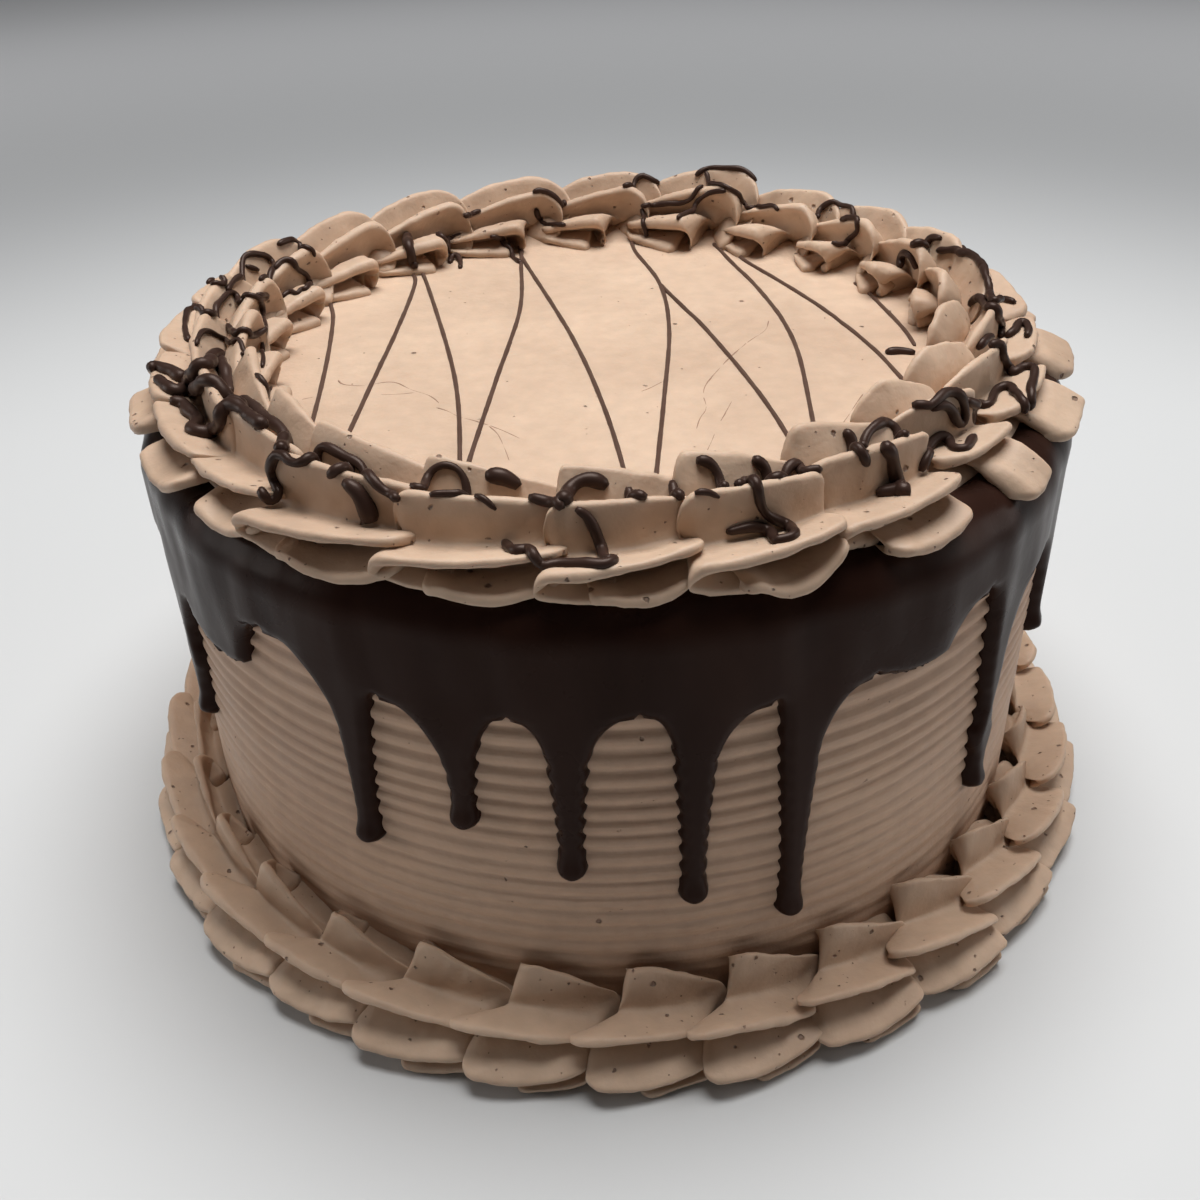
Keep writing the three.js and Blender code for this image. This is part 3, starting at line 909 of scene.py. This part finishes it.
def shellPoints(shell, index, mood, length):  # rings x section of across, along and height
    section = starSection(shell, mood)
    fins = shell["fins"]
    core = complex(*shell["core"])
    outwards = turnedOut(mood)
    size = 1 + shell["unevenSize"] * uneven(index, "size") + shell["swirlSize"] * mood["swirl"]
    size = size + shell["taller"].get(index, 0)

    def spread(values):  # a value for each fin, carried on to the grooves between them
        values = np.array(values, float)
        between = np.concatenate([values[:1], (values[:-1] + values[1:]) / 2, values[-1:]])
        share = section["share"]
        return between[section["near"]] * (1 - share) + values[section["fins"]] * share

    def unevenly(name):  # each fin with a value that differs from shell to shell
        first = index * piping["drawsPerShell"]
        return [(fin, piping["uneven"][name] * uneven(first + k, name)) for k, fin in enumerate(fins)]

    bases = section["bases"] @ [1, 1j] - core
    outline = (section["points"] - section["bases"]) @ [1, 1j] * size
    outline = outline * spread([1 + fin["lobe"] * outwards for fin in fins])
    outline = outline * np.exp(-1j * np.radians(spread([fin["droop"] * outwards for fin in fins])))
    curl = spread([(fin["curl"] + fin["swirlCurl"] * mood["swirl"]) * (1 - outwards) + more
                   for fin, more in unevenly("curl")])
    lag = spread([fin["lag"] + fin["swirl"] * mood["swirl"] for fin in fins])
    reach = spread([fin["reach"] if "reach" in fin else fin["rise"] * mood["rise"] for fin in fins])
    reach = reach * (piping["grooveReach"] + (1 - piping["grooveReach"]) * section["share"])
    lift = spread([fin["lift"] * (1 + more) for fin, more in unevenly("lift")])
    sag = spread([fin["sag"] * (1 + more) for fin, more in unevenly("sag")]) * (1 - outwards)
    tail = spread([fin["tail"] * mood["tail"] ** fin["taper"] for fin in fins])
    late = spread([fin["late"] for fin in fins])
    end = length + mood["under"] + spread([fin["further"] * mood["swirl"] for fin in fins])
    shift = spread([fin["shift"] * mood["shift"] for fin in fins])
    corner = spread([fin.get("corner", mood["corner"]) for fin in fins])
    turned = startTurns(shell, mood)[section["fins"]]
    middle = core.real + shift.mean()
    rings = []

    def addRing(along, finSize, coreSize, up):
        spot = core + bases * coreSize + outline * finSize
        rings.append(np.stack([spot.real + shift, along, spot.imag + up], -1))

    def closingPoint(along, height):  # a ring drawn together
        return np.broadcast_to([middle, along, height], (len(outline), 3))

    headMiddle = piping["headMiddle"]
    headCore = piping["headCore"]
    for turn in np.radians(piping["headTurns"]):
        if turn < 0:
            grown = headMiddle * (1 - abs(math.sin(turn)) ** piping["headGrowth"])
            back = math.cos(turn) - curl * (1 - math.cos(turn))
        else:
            grown = headMiddle + (1 - headMiddle) * math.sin(turn) ** (corner + piping["headCorner"])
            back = math.cos(turn) ** corner
        sink = piping["sink"] * mood["swirl"] * (1 - grown) * (shell["seat"] > 0)
        addRing(lag - reach * back, turned + (1 - turned) * grown, headCore + (1 - headCore) * grown, -sink)
    rings.insert(0, closingPoint(rings[0][:, 1].mean(), core.imag * piping["headEnd"]))
    plainCore, moreCore = piping["tailCore"]
    coreEnd = plainCore + moreCore * mood["tail"]
    for step in np.linspace(0, 1, piping["tailRings"])[1:]:
        up = lift * step ** piping["liftCurve"] - sag * 4 * step * (1 - step)
        addRing(lag + (end - lag) * step, 1 + (tail - 1) * step ** late, 1 + (coreEnd - 1) * step, up)
    plainShrink, moreShrink = piping["closingCore"]
    for more, shrink in piping["closing"]:
        addRing(end + more, tail * shrink, coreEnd * (plainShrink + moreShrink * shrink), lift * shrink)
    rings.append(closingPoint(end.mean() + piping["closing"][-1][0], core.imag * piping["tailEnd"]))
    rings = np.array(rings)
    rings[..., 0] += (rings[..., 1] - length / 2) * math.tan(math.radians(mood["turned"]))
    if shell["seat"] == 0:
        rings[..., 2] = np.maximum(rings[..., 2], piping["footing"])
    return rings


def shellMood(shell, index, head):  # the mood table's values at a head, a little uneven
    table = np.array(shell["moods"])
    values = [np.interp(head, table[:, 0], column) for column in table[:, 1:].T]
    mood = dict(zip(piping["moodNames"], values))
    mood["rise"] *= 1 + piping["uneven"]["rise"] * uneven(index, "rise")
    mood["turned"] += piping["uneven"]["turned"] * uneven(index, "turned")
    return mood


def pipeShells(shell):
    made = []
    heads = shell["heads"]
    radius = shell["radius"]
    for i, head in enumerate(heads):
        mood = shellMood(shell, i, head)
        pitch = (heads[(i + 1) % len(heads)] - head) % 360
        points = shellPoints(shell, i, mood, math.radians(pitch) * radius - mood["rise"])
        across, along, height = np.moveaxis(points, -1, 0)
        angle = head + np.degrees((along + mood["rise"]) / radius)
        number = f"{i + 1:02d}"
        spots = aroundCake(radius + across, angle, shell["seat"] + height)
        piece = gridPiece(f"{shell['name']}_piped_{number}", spots)
        closeSeams(piece, distance=0.01)
        applyModifier(piece, "SUBSURF", levels=1, render_levels=1)
        for texture, strength in pipedTextures:
            roughen(piece, texture, strength)
        finishPiece(piece, pipedIcing, "piped_icing", f"{shell['name']}_{number}")
        made.append(piece)
    print(shell["name"], len(made), sum(len(piece.data.polygons) for piece in made))
    return made


pipedTextures = []
for name in ("waves", "lumps"):
    size, strength = piping[name]
    pipedTextures.append((cloudTexture(f"piped_{name}", size), strength))
topShells = pipeShells(topShell)
pipeShells(footShell)


# The photo's camera

camera = {
    "lens": 38.96,
    "sensor": 36.0,
    "place": (-0.002594, -0.286763, 0.233767),
    "tilt": 33.714,  # degrees below level
    "roll": -1.623,
}
cameraMatrix = (Matrix.Translation(camera["place"])
                @ Matrix.Rotation(math.radians(90 - camera["tilt"]), 4, "X")
                @ Matrix.Rotation(math.radians(camera["roll"]), 4, "Z"))


# Chocolate drizzle: strands laid where the photo shows them, along the rays of its camera

drizzle = {
    "photoSize": 1200,
    "pixelStep": 1.5,
    "lineStep": 0.8,  # between the points that fall on the cake, in mm
    "crackStep": 0.5,
    "fallFrom": 200.0,
    "spacing": 0.7,  # between the points of a strand, in mm
    "longestSpan": 16.0,  # a longer leap from crest to crest breaks the strand
    "fewestHits": 3,
    "shortestRun": 3.5,  # a shorter rest of a strand is left out
    "catch": (2, 4, 6, 8, 10),  # pixels below a strand in which a nearer crest takes it up
    "catchDepth": 5.0,  # how much nearer that crest is, in mm
    "freeHeight": 1.2,  # a strand higher than this above its carrier comes down on it
    "tautness": 6,  # rounds in which a strand is pulled straight across hollows
    "smoothing": (5, 4, 3, 1),  # rounds of smoothing, each followed by a lift out of the carrier
    "sides": 4,
    "edgeShare": 0.55,  # thickness at the strand's two ends
    "edgeLength": 2.2,  # length of the thinner ends, in half thicknesses
    "swellWaves": (0.31, 0.83),
}

# Kinds of strand: half thickness at both ends in mm, height of the middle above the carrier as a share of
# the half thickness, and how much the thickness varies
strandKinds = {
    "line": {"halves": (0.55, 0.5), "above": 0.25, "swell": 0.05},
    "crack": {"halves": (0.20, 0.14), "above": -0.7, "swell": 0.25},
    "faint_crack": {"halves": (0.13, 0.09), "above": -0.65, "swell": 0.25},
    "thin": {"halves": (0.6, 0.5), "above": 0.45, "swell": 0.10},
    "slim": {"halves": (0.75, 0.7), "above": 0.45, "swell": 0.12},
    "middle": {"halves": (1.0, 0.95), "above": 0.45, "swell": 0.10},
    "thick": {"halves": (1.45, 1.35), "above": 0.45, "swell": 0.12},
    "bulb": {"halves": (1.3, 2.2), "above": 0.35, "swell": 0.05},
}

# Lines on the flat top: x and y in mm
topLines = {
    "far_left": [(-72, 45), (-70, 36), (-67.8, 25.3), (-64.8, -5.8), (-63.1, -36.1), (-63, -41)],
    "left_a": [(-53, 66), (-52, 60), (-49.7, 50.4), (-50.9, 14.3), (-54.8, -42.3), (-55.5, -50)],
    "left_b": [(-52, 67), (-50, 61), (-47.4, 54), (-37.1, 4), (-32.6, -24.2), (-30, -53.6),
        (-29.6, -66)],
    "middle_left_a": [(-22.5, 82), (-22, 76), (-21.8, 64.6), (-20.8, 28.6), (-24.8, -16.8),
        (-28.3, -55), (-29.2, -68)],
    "middle_left_b": [(-24, 83), (-22.5, 77), (-20.7, 64.6), (-8, 11.1), (-0.4, -31.4), (3.5, -65.2),
        (4.2, -74)],
    "middle_right_a": [(9, 84), (9.5, 78), (10.3, 70.3), (15.6, 43.6), (16.1, 12.5), (12.6, -27.2),
        (8.2, -70.6), (8, -76)],
    "middle_right_b": [(15.6, 43.6), (20.2, 27.5), (25.7, 8.7), (33.7, -26), (37.4, -49.4),
        (38.6, -60)],
    "right_a": [(32.5, 76), (34, 70), (35.4, 63.1), (41.9, 32.8), (45.2, 1.1), (42.9, -44.7),
        (42, -58)],
    "right_b": [(35.5, 74), (38, 68), (40.5, 59.4), (53, 29.8), (62.6, -0.2), (67.3, -27.2), (68, -32)],
    "far_right": [(66.5, 42), (68.5, 36), (70.7, 22.9), (72.7, 8.3), (73.1, -0.9)],
}

# Hairline cracks in the icing of the top, drawn as thin dark strands of painted shade: x and y in mm
topCracks = {
    "crack": {
        "left_long": [(-60.9, -11.3), (-60, -14.5), (-57.8, -14.5), (-55, -15.6), (-52.8, -15),
            (-50.7, -13.8), (-47.6, -13.4), (-44.7, -17.3), (-42.3, -19.4), (-39.9, -20.7),
            (-37.9, -23), (-36.6, -25.7)],
        "left_front": [(-37.1, -27.8), (-34.8, -29.2), (-33.2, -30.9), (-31.2, -33.9), (-28.7, -34.3),
            (-26.8, -36.6), (-25, -37.5)],
        "left_nick": [(-67.9, -21), (-66.6, -19.8), (-64.6, -19.7)],
        "right_long": [(34, 3), (29.7, -4.4), (27.1, -9.6), (23.6, -17), (21.7, -21.8), (21.3, -26.5)],
    },
    "faint_crack": {
        "left_branch": [(-50.6, -20.4), (-48.9, -19.7), (-47.3, -20.9), (-45.1, -20.4), (-42.6, -19.9)],
        "left_end": [(-25, -37.5), (-21.7, -40.4), (-18.1, -44.2)],
        "left_end_branch": [(-25, -37.9), (-23, -41.2), (-22.2, -44.3), (-21, -48.9), (-20.1, -53.3)],
        "right_start": [(40.8, 16.5), (39.5, 10.7), (36.7, 7), (34, 3)],
        "right_end": [(21.3, -26.5), (21.5, -29.7), (21.5, -33.5), (20.1, -34.9), (19.4, -37.8),
            (18.5, -42.1)],
        "right_front": [(22.2, -44.1), (20.9, -48.6), (19.6, -52.6)],
        "right_beside": [(27.3, -28.5), (25.3, -34.5), (23.8, -38.8)],
        "middle_nick": [(7.5, -23.2), (9.6, -21.8), (11.4, -19.4), (12.9, -17.9)],
        "far_right": [(56.2, -26.5), (53.2, -32.5), (50.5, -38.3), (48.6, -41.9), (47.1, -45.4)],
    },
}

# Strands over the top border: pixels of the photo, grouped by kind
shellStrands = {
    "middle": {
        "right_back_hook": [(899, 264), (904, 251), (913, 255), (918, 268)],
        "right_back_dash": [(913, 247), (930, 237), (942, 239)],
        "right_back_run": [(939, 251), (955, 250), (966, 250), (975, 259), (984, 270), (990, 290),
            (1000, 299), (1015, 304)],
        "right_upper_wave": [(971, 306), (975, 299), (986, 300), (995, 313), (1002, 328), (1013, 325),
            (1024, 320), (1030, 326), (1027, 338)],
        "right_middle_wave": [(964, 353), (973, 351), (984, 337), (995, 341), (1004, 362), (1013, 370),
            (1026, 364), (1035, 364), (1035, 375), (1029, 395), (1026, 411)],
        "right_lower_wave": [(1022, 411), (1020, 400), (1015, 389), (1009, 385), (995, 392), (984, 402),
            (973, 403), (964, 400)],
        "right_loop": [(913, 397), (926, 409), (937, 400), (950, 391), (962, 400), (964, 418),
            (962, 433), (955, 420), (948, 406), (939, 402), (930, 409)],
        "right_front_wave": [(919, 471), (926, 451), (935, 435), (944, 433), (955, 442), (966, 442),
            (975, 438)],
        "right_inner_arch": [(863, 438), (872, 426), (888, 425), (908, 430)],
        "right_inner_drop": [(843, 431), (850, 431), (855, 444), (861, 453), (866, 464)],
        "right_top_dash": [(886, 344), (897, 342), (913, 344), (924, 348)],
        "front_left_run": [(262, 491), (272, 499), (279, 489), (272, 472), (274, 458), (284, 454),
            (297, 466), (307, 466), (311, 454), (323, 444), (333, 448), (345, 458), (361, 462),
            (373, 478), (388, 493), (400, 498)],
        "front_left_branch": [(350, 459), (340, 469), (331, 476)],
        "front_swirl": [(504, 542), (519, 545), (533, 555), (547, 565), (571, 566), (593, 566),
            (607, 569), (617, 563), (613, 557), (605, 553), (599, 541), (593, 525), (587, 513),
            (581, 505), (576, 508)],
        "front_nick": [(529, 493), (537, 497), (545, 507), (555, 503), (562, 509)],
        "front_right_swirl": [(739, 478), (747, 472), (755, 478), (757, 491), (759, 505), (767, 517),
            (781, 521), (795, 527), (797, 537), (791, 543), (781, 539), (769, 529), (755, 524),
            (737, 529), (726, 531)],
        "front_right_run": [(752, 459), (761, 462), (771, 470), (785, 467), (799, 462), (811, 470),
            (820, 473)],
        "front_right_hook": [(696, 460), (704, 455), (712, 462), (718, 474), (726, 481)],
        "front_dash_a": [(628, 487), (637, 491), (646, 499)],
        "front_dash_b": [(661, 501), (670, 498), (678, 500)],
        "front_dash_c": [(674, 481), (676, 491), (681, 499)],
    },
    "slim": {
        "front_hook": [(410, 486), (422, 483), (428, 474), (436, 465), (448, 462), (460, 468),
            (467, 479), (463, 491), (452, 492), (440, 487), (430, 496)],
        "back_left_run": [(533, 183), (544, 185), (556, 193), (566, 205)],
        "back_left_hook": [(536, 208), (538, 221), (546, 225), (559, 225), (566, 225)],
        "back_middle_arch": [(623, 181), (637, 176), (650, 176), (660, 183)],
        "back_middle_drop": [(642, 208), (645, 221), (647, 236)],
        "back_middle_run": [(642, 205), (653, 206), (665, 202), (676, 203), (690, 200), (703, 183)],
        "back_inner_hook": [(490, 236), (499, 235), (508, 243), (513, 253), (521, 256)],
        "back_inner_nick": [(450, 254), (456, 251), (461, 258), (460, 263)],
        "back_far_dash": [(463, 215), (475, 211), (481, 205)],
        "back_far_wave": [(436, 225), (443, 235), (453, 236), (463, 233)],
        "back_right_arch": [(696, 176), (706, 168), (719, 164), (736, 163), (749, 167), (759, 175)],
        "back_right_run": [(706, 172), (716, 181), (728, 190), (739, 195), (746, 203), (756, 206),
            (764, 201), (773, 201), (779, 210)],
        "back_right_rise": [(678, 220), (690, 208), (700, 198), (713, 191), (726, 191)],
        "back_end_loop": [(817, 210), (829, 203), (841, 200), (850, 203), (854, 211), (842, 221)],
        "back_end_hook": [(841, 221), (852, 213), (860, 220), (859, 230), (847, 240), (836, 248),
            (831, 243)],
        "left_back_loop": [(203, 275), (214, 274), (226, 279), (228, 286), (216, 286), (206, 279)],
        "left_back_run": [(226, 291), (237, 274), (243, 266), (241, 258), (252, 254), (266, 256),
            (275, 262), (271, 270), (264, 272), (252, 268), (245, 266)],
        "left_back_wave": [(275, 262), (283, 256), (291, 262), (298, 270), (308, 274), (310, 281),
            (302, 289), (293, 288), (283, 290)],
        "left_back_arch": [(277, 245), (289, 238), (302, 240), (312, 247), (314, 256)],
        "left_upper_run": [(193, 339), (186, 327), (185, 312), (191, 304), (206, 305), (218, 304),
            (226, 293), (233, 291), (241, 296), (254, 298), (268, 298), (272, 295), (264, 294),
            (256, 295)],
        "left_inner_loop": [(226, 319), (237, 327), (249, 335), (260, 335), (264, 321), (262, 306),
            (258, 298)],
    },
    "thin": {
        "left_thin": [(196, 346), (201, 331), (210, 332), (222, 339), (237, 337), (244, 348)],
        "left_inner_drop": [(262, 342), (264, 358), (262, 371)],
        "left_inner_dash": [(256, 375), (266, 381), (272, 388)],
        "front_thin": [(475, 497), (485, 496), (493, 503), (496, 509)],
        "front_right_thin": [(695, 494), (704, 488), (714, 491), (719, 497)],
    },
    "thick": {
        "left_ribbon": [(153, 367), (159, 361), (172, 365), (187, 377), (197, 373), (205, 361),
            (212, 355), (222, 360), (229, 373), (228, 384)],
        "left_rope": [(157, 373), (168, 383), (184, 392), (195, 392), (206, 383), (220, 388),
            (231, 398), (245, 400), (256, 407), (264, 417), (275, 423), (285, 432), (281, 444)],
        "left_lower_rope": [(170, 402), (184, 405), (201, 413), (187, 421), (203, 427), (214, 430),
            (224, 421), (227, 409), (237, 405), (252, 411), (264, 421)],
        "back_left_mass": [(407, 233), (410, 249), (415, 269)],
        "front_thick": [(487, 476), (503, 474), (513, 479), (519, 487)],
        "front_lump": [(563, 505), (566, 491), (577, 479), (589, 477), (601, 480), (607, 487)],
        "right_front_drop": [(880, 447), (888, 447), (891, 467), (895, 482), (908, 489), (901, 493),
            (875, 495)],
    },
    "bulb": {
        "front_left_bulb": [(345, 481), (357, 485), (365, 497), (369, 509), (373, 521)],
    },
}

# Loops over the far side of the border, which the photo doesn't show: angles in degrees, radii in mm
farLoops = {
    "angles": (116, 131, 147, 163, 179, -166, -150, -133, -117),
    "inner": 98.0,
    "outer": 104.0,
    "width": 3.4,
    "unevenWidth": 0.4,
    "unevenReach": 1.5,
    "perRadian": 57.3,  # degrees
    "course": [("inner", 0, -1), ("middle", 0, -0.6), ("outer", 0, -0.3), ("outer", 0.5, 1),
               ("middle", 2, 1.5), ("inner", 1, 1)],  # radius, how far past it, and share of the width
}
downwards = Vector((0, 0, -1))


def throughPoints(points, step):  # a smooth curve through the given points
    points = np.array(points, float)
    before = np.vstack([2 * points[0] - points[1], points[:-1]])[:-1]
    after = np.vstack([points[2:], 2 * points[-1] - points[-2]])
    curve = []
    for a, b, c, d in zip(before, points[:-1], points[1:], after):
        count = max(int(np.linalg.norm(c - b) / step), 1)
        for t in np.arange(count) / count:
            curve.append(0.5 * (2 * b + (c - a) * t + (2 * a - 5 * b + 4 * c - d) * t ** 2
                                + (3 * b - a - 3 * c + d) * t ** 3))
    return np.array(curve + [points[-1]])


def surfaceTree(pieces):  # one search tree over the finished pieces
    corners, faces = [], []
    for piece in pieces:
        first = len(corners)
        corners += vertexPoints(piece).tolist()
        faces += [[first + k for k in polygon.vertices] for polygon in piece.data.polygons]
    return BVHTree.FromPolygons(corners, faces)


def photoRay(x, y):  # direction in which the photo's camera sees a pixel
    focal = camera["lens"] / camera["sensor"] * drizzle["photoSize"]
    middle = drizzle["photoSize"] / 2
    seen = Vector(((x - middle) / focal, -(y - middle) / focal, -1))
    return (cameraMatrix.to_3x3() @ seen).normalized()


def photoHits(pixels, tree):  # where the camera's rays meet the cake, or a crest just below them
    eye = cameraMatrix.translation
    hits = []
    for x, y in throughPoints(pixels, drizzle["pixelStep"]):
        place, reach = tree.ray_cast(eye, photoRay(x, y))[::3]
        for lower in drizzle["catch"]:
            crest, crestReach = tree.ray_cast(eye, photoRay(x, y + lower))[::3]
            if crest is not None and (place is None or crestReach < reach - drizzle["catchDepth"] * mm):
                place = crest
                break
        if place is not None:
            hits.append(np.array(place))
    return hits


def draped(run, tree):  # leaps between neighbouring points come down on what lies below
    points = [run[0]]
    for start, end in zip(run[:-1], run[1:]):
        count = int(np.linalg.norm(end - start) / (drizzle["spacing"] * mm))
        for share in np.arange(1, count + 1) / (count + 1):
            spot = Vector(start + (end - start) * share)
            if tree.find_nearest(spot)[3] > drizzle["freeHeight"] * mm:
                spot = tree.ray_cast(spot, downwards)[0] or spot
            points.append(np.array(spot))
        points.append(end)
    points = np.array(points)
    for k in range(drizzle["tautness"]):
        points[1:-1, 2] = np.maximum(points[1:-1, 2], (points[:-2, 2] + points[2:, 2]) / 2)
    return points


def fallingHits(spots, step, tree):  # where points above the cake come down on it
    hits = []
    for x, y in throughPoints(spots, step):
        place = tree.ray_cast(Vector((x * mm, y * mm, drizzle["fallFrom"] * mm)), downwards)[0]
        if place is not None:
            hits.append(np.array(place))
    return hits


def gaps(points):  # distances from point to point
    return np.linalg.norm(np.diff(points, axis=0), axis=1)


def splitSpans(hits):  # the runs of a strand between leaps that are too long
    runs = [[hits[0]]]
    for hit in hits[1:]:
        if np.linalg.norm(hit - runs[-1][-1]) > drizzle["longestSpan"] * mm:
            runs.append([])
        runs[-1].append(hit)
    runs = [np.array(run) for run in runs if len(run) > drizzle["fewestHits"]]
    return [run for run in runs if gaps(run).sum() > drizzle["shortestRun"] * mm]


def evenSteps(points, step):
    length = np.concatenate([[0], np.cumsum(gaps(points))])
    marks = np.linspace(0, length[-1], max(int(length[-1] / step), 3))
    return np.stack([np.interp(marks, length, points[:, k]) for k in range(3)], -1)


def smoothed(points, rounds):
    for k in range(rounds):
        points[1:-1] = (points[:-2] + 2 * points[1:-1] + points[2:]) / 4
    return points


def liftOut(points, half, above, tree):  # out of the carrier, or with a crack down into it
    for i, point in enumerate(points):
        place, normal = tree.find_nearest(Vector(point))[:2]
        rise = half[i] * above * mm
        if above < 0 or (Vector(point) - place).dot(normal) < rise:
            points[i] = np.array(place + normal * rise)


def layStrand(curve, hits, kind, tree):  # one strand on its carrier, as splines with a thickness
    slow, quick = drizzle["swellWaves"]
    for run in splitSpans(hits):
        points = draped(run, tree)
        for rounds in drizzle["smoothing"]:
            points = smoothed(evenSteps(points, drizzle["spacing"] * mm), rounds)
            half = np.linspace(*kind["halves"], len(points))
            liftOut(points, half, kind["above"], tree)
        spline = curve.splines.new("POLY")
        spline.points.add(len(points) - 1)
        places = np.arange(len(points))
        fromEnd = np.minimum(places, places[::-1]) * drizzle["spacing"]
        ends = roundEdge(fromEnd / (drizzle["edgeLength"] * half))
        ends = drizzle["edgeShare"] + (1 - drizzle["edgeShare"]) * ends
        for i, point in enumerate(points):
            wave = math.sin(i * slow + len(curve.splines)) + 0.5 * math.sin(i * quick)
            spline.points[i].co = (*point, 1)
            spline.points[i].radius = half[i] * ends[i] * (1 + kind["swell"] * wave)


def farHits(index, angle, tree):  # a loop over the far side of the border
    inner = farLoops["inner"]
    outer = farLoops["outer"] + farLoops["unevenReach"] * uneven(index, "loopReach")
    side = farLoops["width"] * (1 + farLoops["unevenWidth"] * uneven(index, "loopWidth"))
    radii = {"inner": inner, "middle": (inner + outer) / 2, "outer": outer}
    loop = [(radii[name] + past, share * side) for name, past, share in farLoops["course"]]
    perRadian = farLoops["perRadian"]
    turns = [(radius, math.radians(angle + shift / radius * perRadian)) for radius, shift in loop]
    spots = [(radius * math.sin(turn), -radius * math.cos(turn)) for radius, turn in turns]
    return fallingHits(spots, drizzle["lineStep"], tree)


def buildStrands(name, laid, tree):  # one piece of many strands, given as hits and kind
    curve = bpy.data.curves.new(name, "CURVE")
    curve.dimensions = "3D"
    curve.bevel_depth = mm
    curve.bevel_resolution = drizzle["sides"]
    curve.use_fill_caps = True
    for hits, kind in laid:
        if len(hits) > drizzle["fewestHits"]:
            layStrand(curve, hits, strandKinds[kind], tree)
    linkObject(name, curve)
    bpy.ops.object.convert(target="MESH")
    piece = bpy.context.active_object
    piece.data.name = name
    closeSeams(piece, distance=0.003)
    print(name, len(piece.data.polygons))
    return piece


cakeTree = surfaceTree([icedCake])
wholeTree = surfaceTree([icedCake, glaze] + topShells)
laidLines = [(fallingHits(spots, drizzle["lineStep"], cakeTree), "line") for spots in topLines.values()]
laidCracks = []
for kind, cracks in topCracks.items():
    laidCracks += [(fallingHits(spots, drizzle["crackStep"], cakeTree), kind) for spots in cracks.values()]
laidStrands = []
for kind, strands in shellStrands.items():
    laidStrands += [(photoHits(pixels, wholeTree), kind) for pixels in strands.values()]
laidStrands += [(farHits(i, angle, wholeTree), "middle") for i, angle in enumerate(farLoops["angles"])]
for name, laid, tree, material, slot in (
        ("chocolate_lines", laidLines, cakeTree, lineChocolate, "chocolate"),
        ("icing_cracks", laidCracks, cakeTree, crackShadeIcing, "icing"),
        ("chocolate_drizzle", laidStrands, wholeTree, drizzleChocolate, "chocolate")):
    finishPiece(buildStrands(name, laid, tree), material, slot, "cake")


# Stage, lights and camera

stage = {
    "floorSize": 12.0,
    # painted light and shade on the floor: a darker middle ring of painted shade, and a brighter far ring
    # of painted light that makes up for the lamps' falloff
    "near": (0.63, 0.635, 0.635, 1),
    "middle": (0.43, 0.435, 0.44, 1),
    "far": (0.88, 0.885, 0.90, 1),
    "reaches": (0.28, 0.64, 1.25),  # distances of the three tones from the cake, in metres: the floor's own tone, painted shade, painted light
    "shader": {"Roughness": 0.7, "Specular IOR Level": 0.2},
    "world": {"Color": (0.36, 0.37, 0.385, 1), "Strength": 0.08},
}


# painted light and shade: the floor's colour changes with the distance from the cake
def floorFinish():
    material, tree, shader = newFinish("floor")
    length = addNode(tree, "ShaderNodeVectorMath", {0: objectCoordinates(tree)}, operation="LENGTH")
    distance = length.outputs["Value"]
    first, second, third = stage["reaches"]
    leaving = mapValue(tree, distance, first, second, smooth=True)
    reaching = mapValue(tree, distance, second, third, smooth=True)
    tone = mixColour(tree, leaving, stage["near"], stage["middle"])
    setInputs(tree, shader, {"Base Color": mixColour(tree, reaching, tone, stage["far"])})
    setInputs(tree, shader, stage["shader"])
    return material


bpy.ops.object.select_all(action="DESELECT")
bpy.ops.mesh.primitive_plane_add(size=stage["floorSize"], location=(0, 0, 0))
floor = bpy.context.active_object
floor.name = "floor"
floor.data.materials.append(floorFinish())

lights = [
    # name, watts, size, location, point looked at
    ("overhead", 15.7, 0.8, (0.06, 0.12, 1.10), (0, 0, 0.1)),
    ("front_fill", 0.3, 1.2, (0.1, -0.95, 1.35), (0, 0, 0.05)),
    ("left_wall", 3.2, 0.7, (-1.2, 0.0, 0.36), (0, 0, 0.04)),
    ("right_wall", 2.5, 0.7, (1.2, 0.0, 0.36), (0, 0, 0.04)),
]


def addLight(name, watts, size, place, target):
    bpy.ops.object.select_all(action="DESELECT")
    bpy.ops.object.light_add(type="AREA", location=place)
    lamp = bpy.context.active_object
    lamp.name = name
    lamp.data.energy = watts
    lamp.data.shape = "DISK"
    lamp.data.size = size
    lamp.visible_camera = False
    lamp.rotation_euler = (Vector(target) - Vector(place)).to_track_quat("-Z", "Y").to_euler()


for light in lights:
    addLight(*light)

world = bpy.context.scene.world or bpy.data.worlds.new("studio")
bpy.context.scene.world = world
world.use_nodes = True
setInputs(world.node_tree, world.node_tree.nodes["Background"], stage["world"])

bpy.ops.object.select_all(action="DESELECT")
bpy.ops.object.camera_add(location=camera["place"])
lens = bpy.context.active_object
lens.name = "camera"
lens.data.lens = camera["lens"]
lens.data.sensor_width = camera["sensor"]
lens.data.sensor_fit = "HORIZONTAL"
lens.data.clip_start = 0.01
lens.matrix_world = cameraMatrix
bpy.context.scene.camera = lens
bpy.context.scene.view_settings.view_transform = "Standard"

print("scene ready")
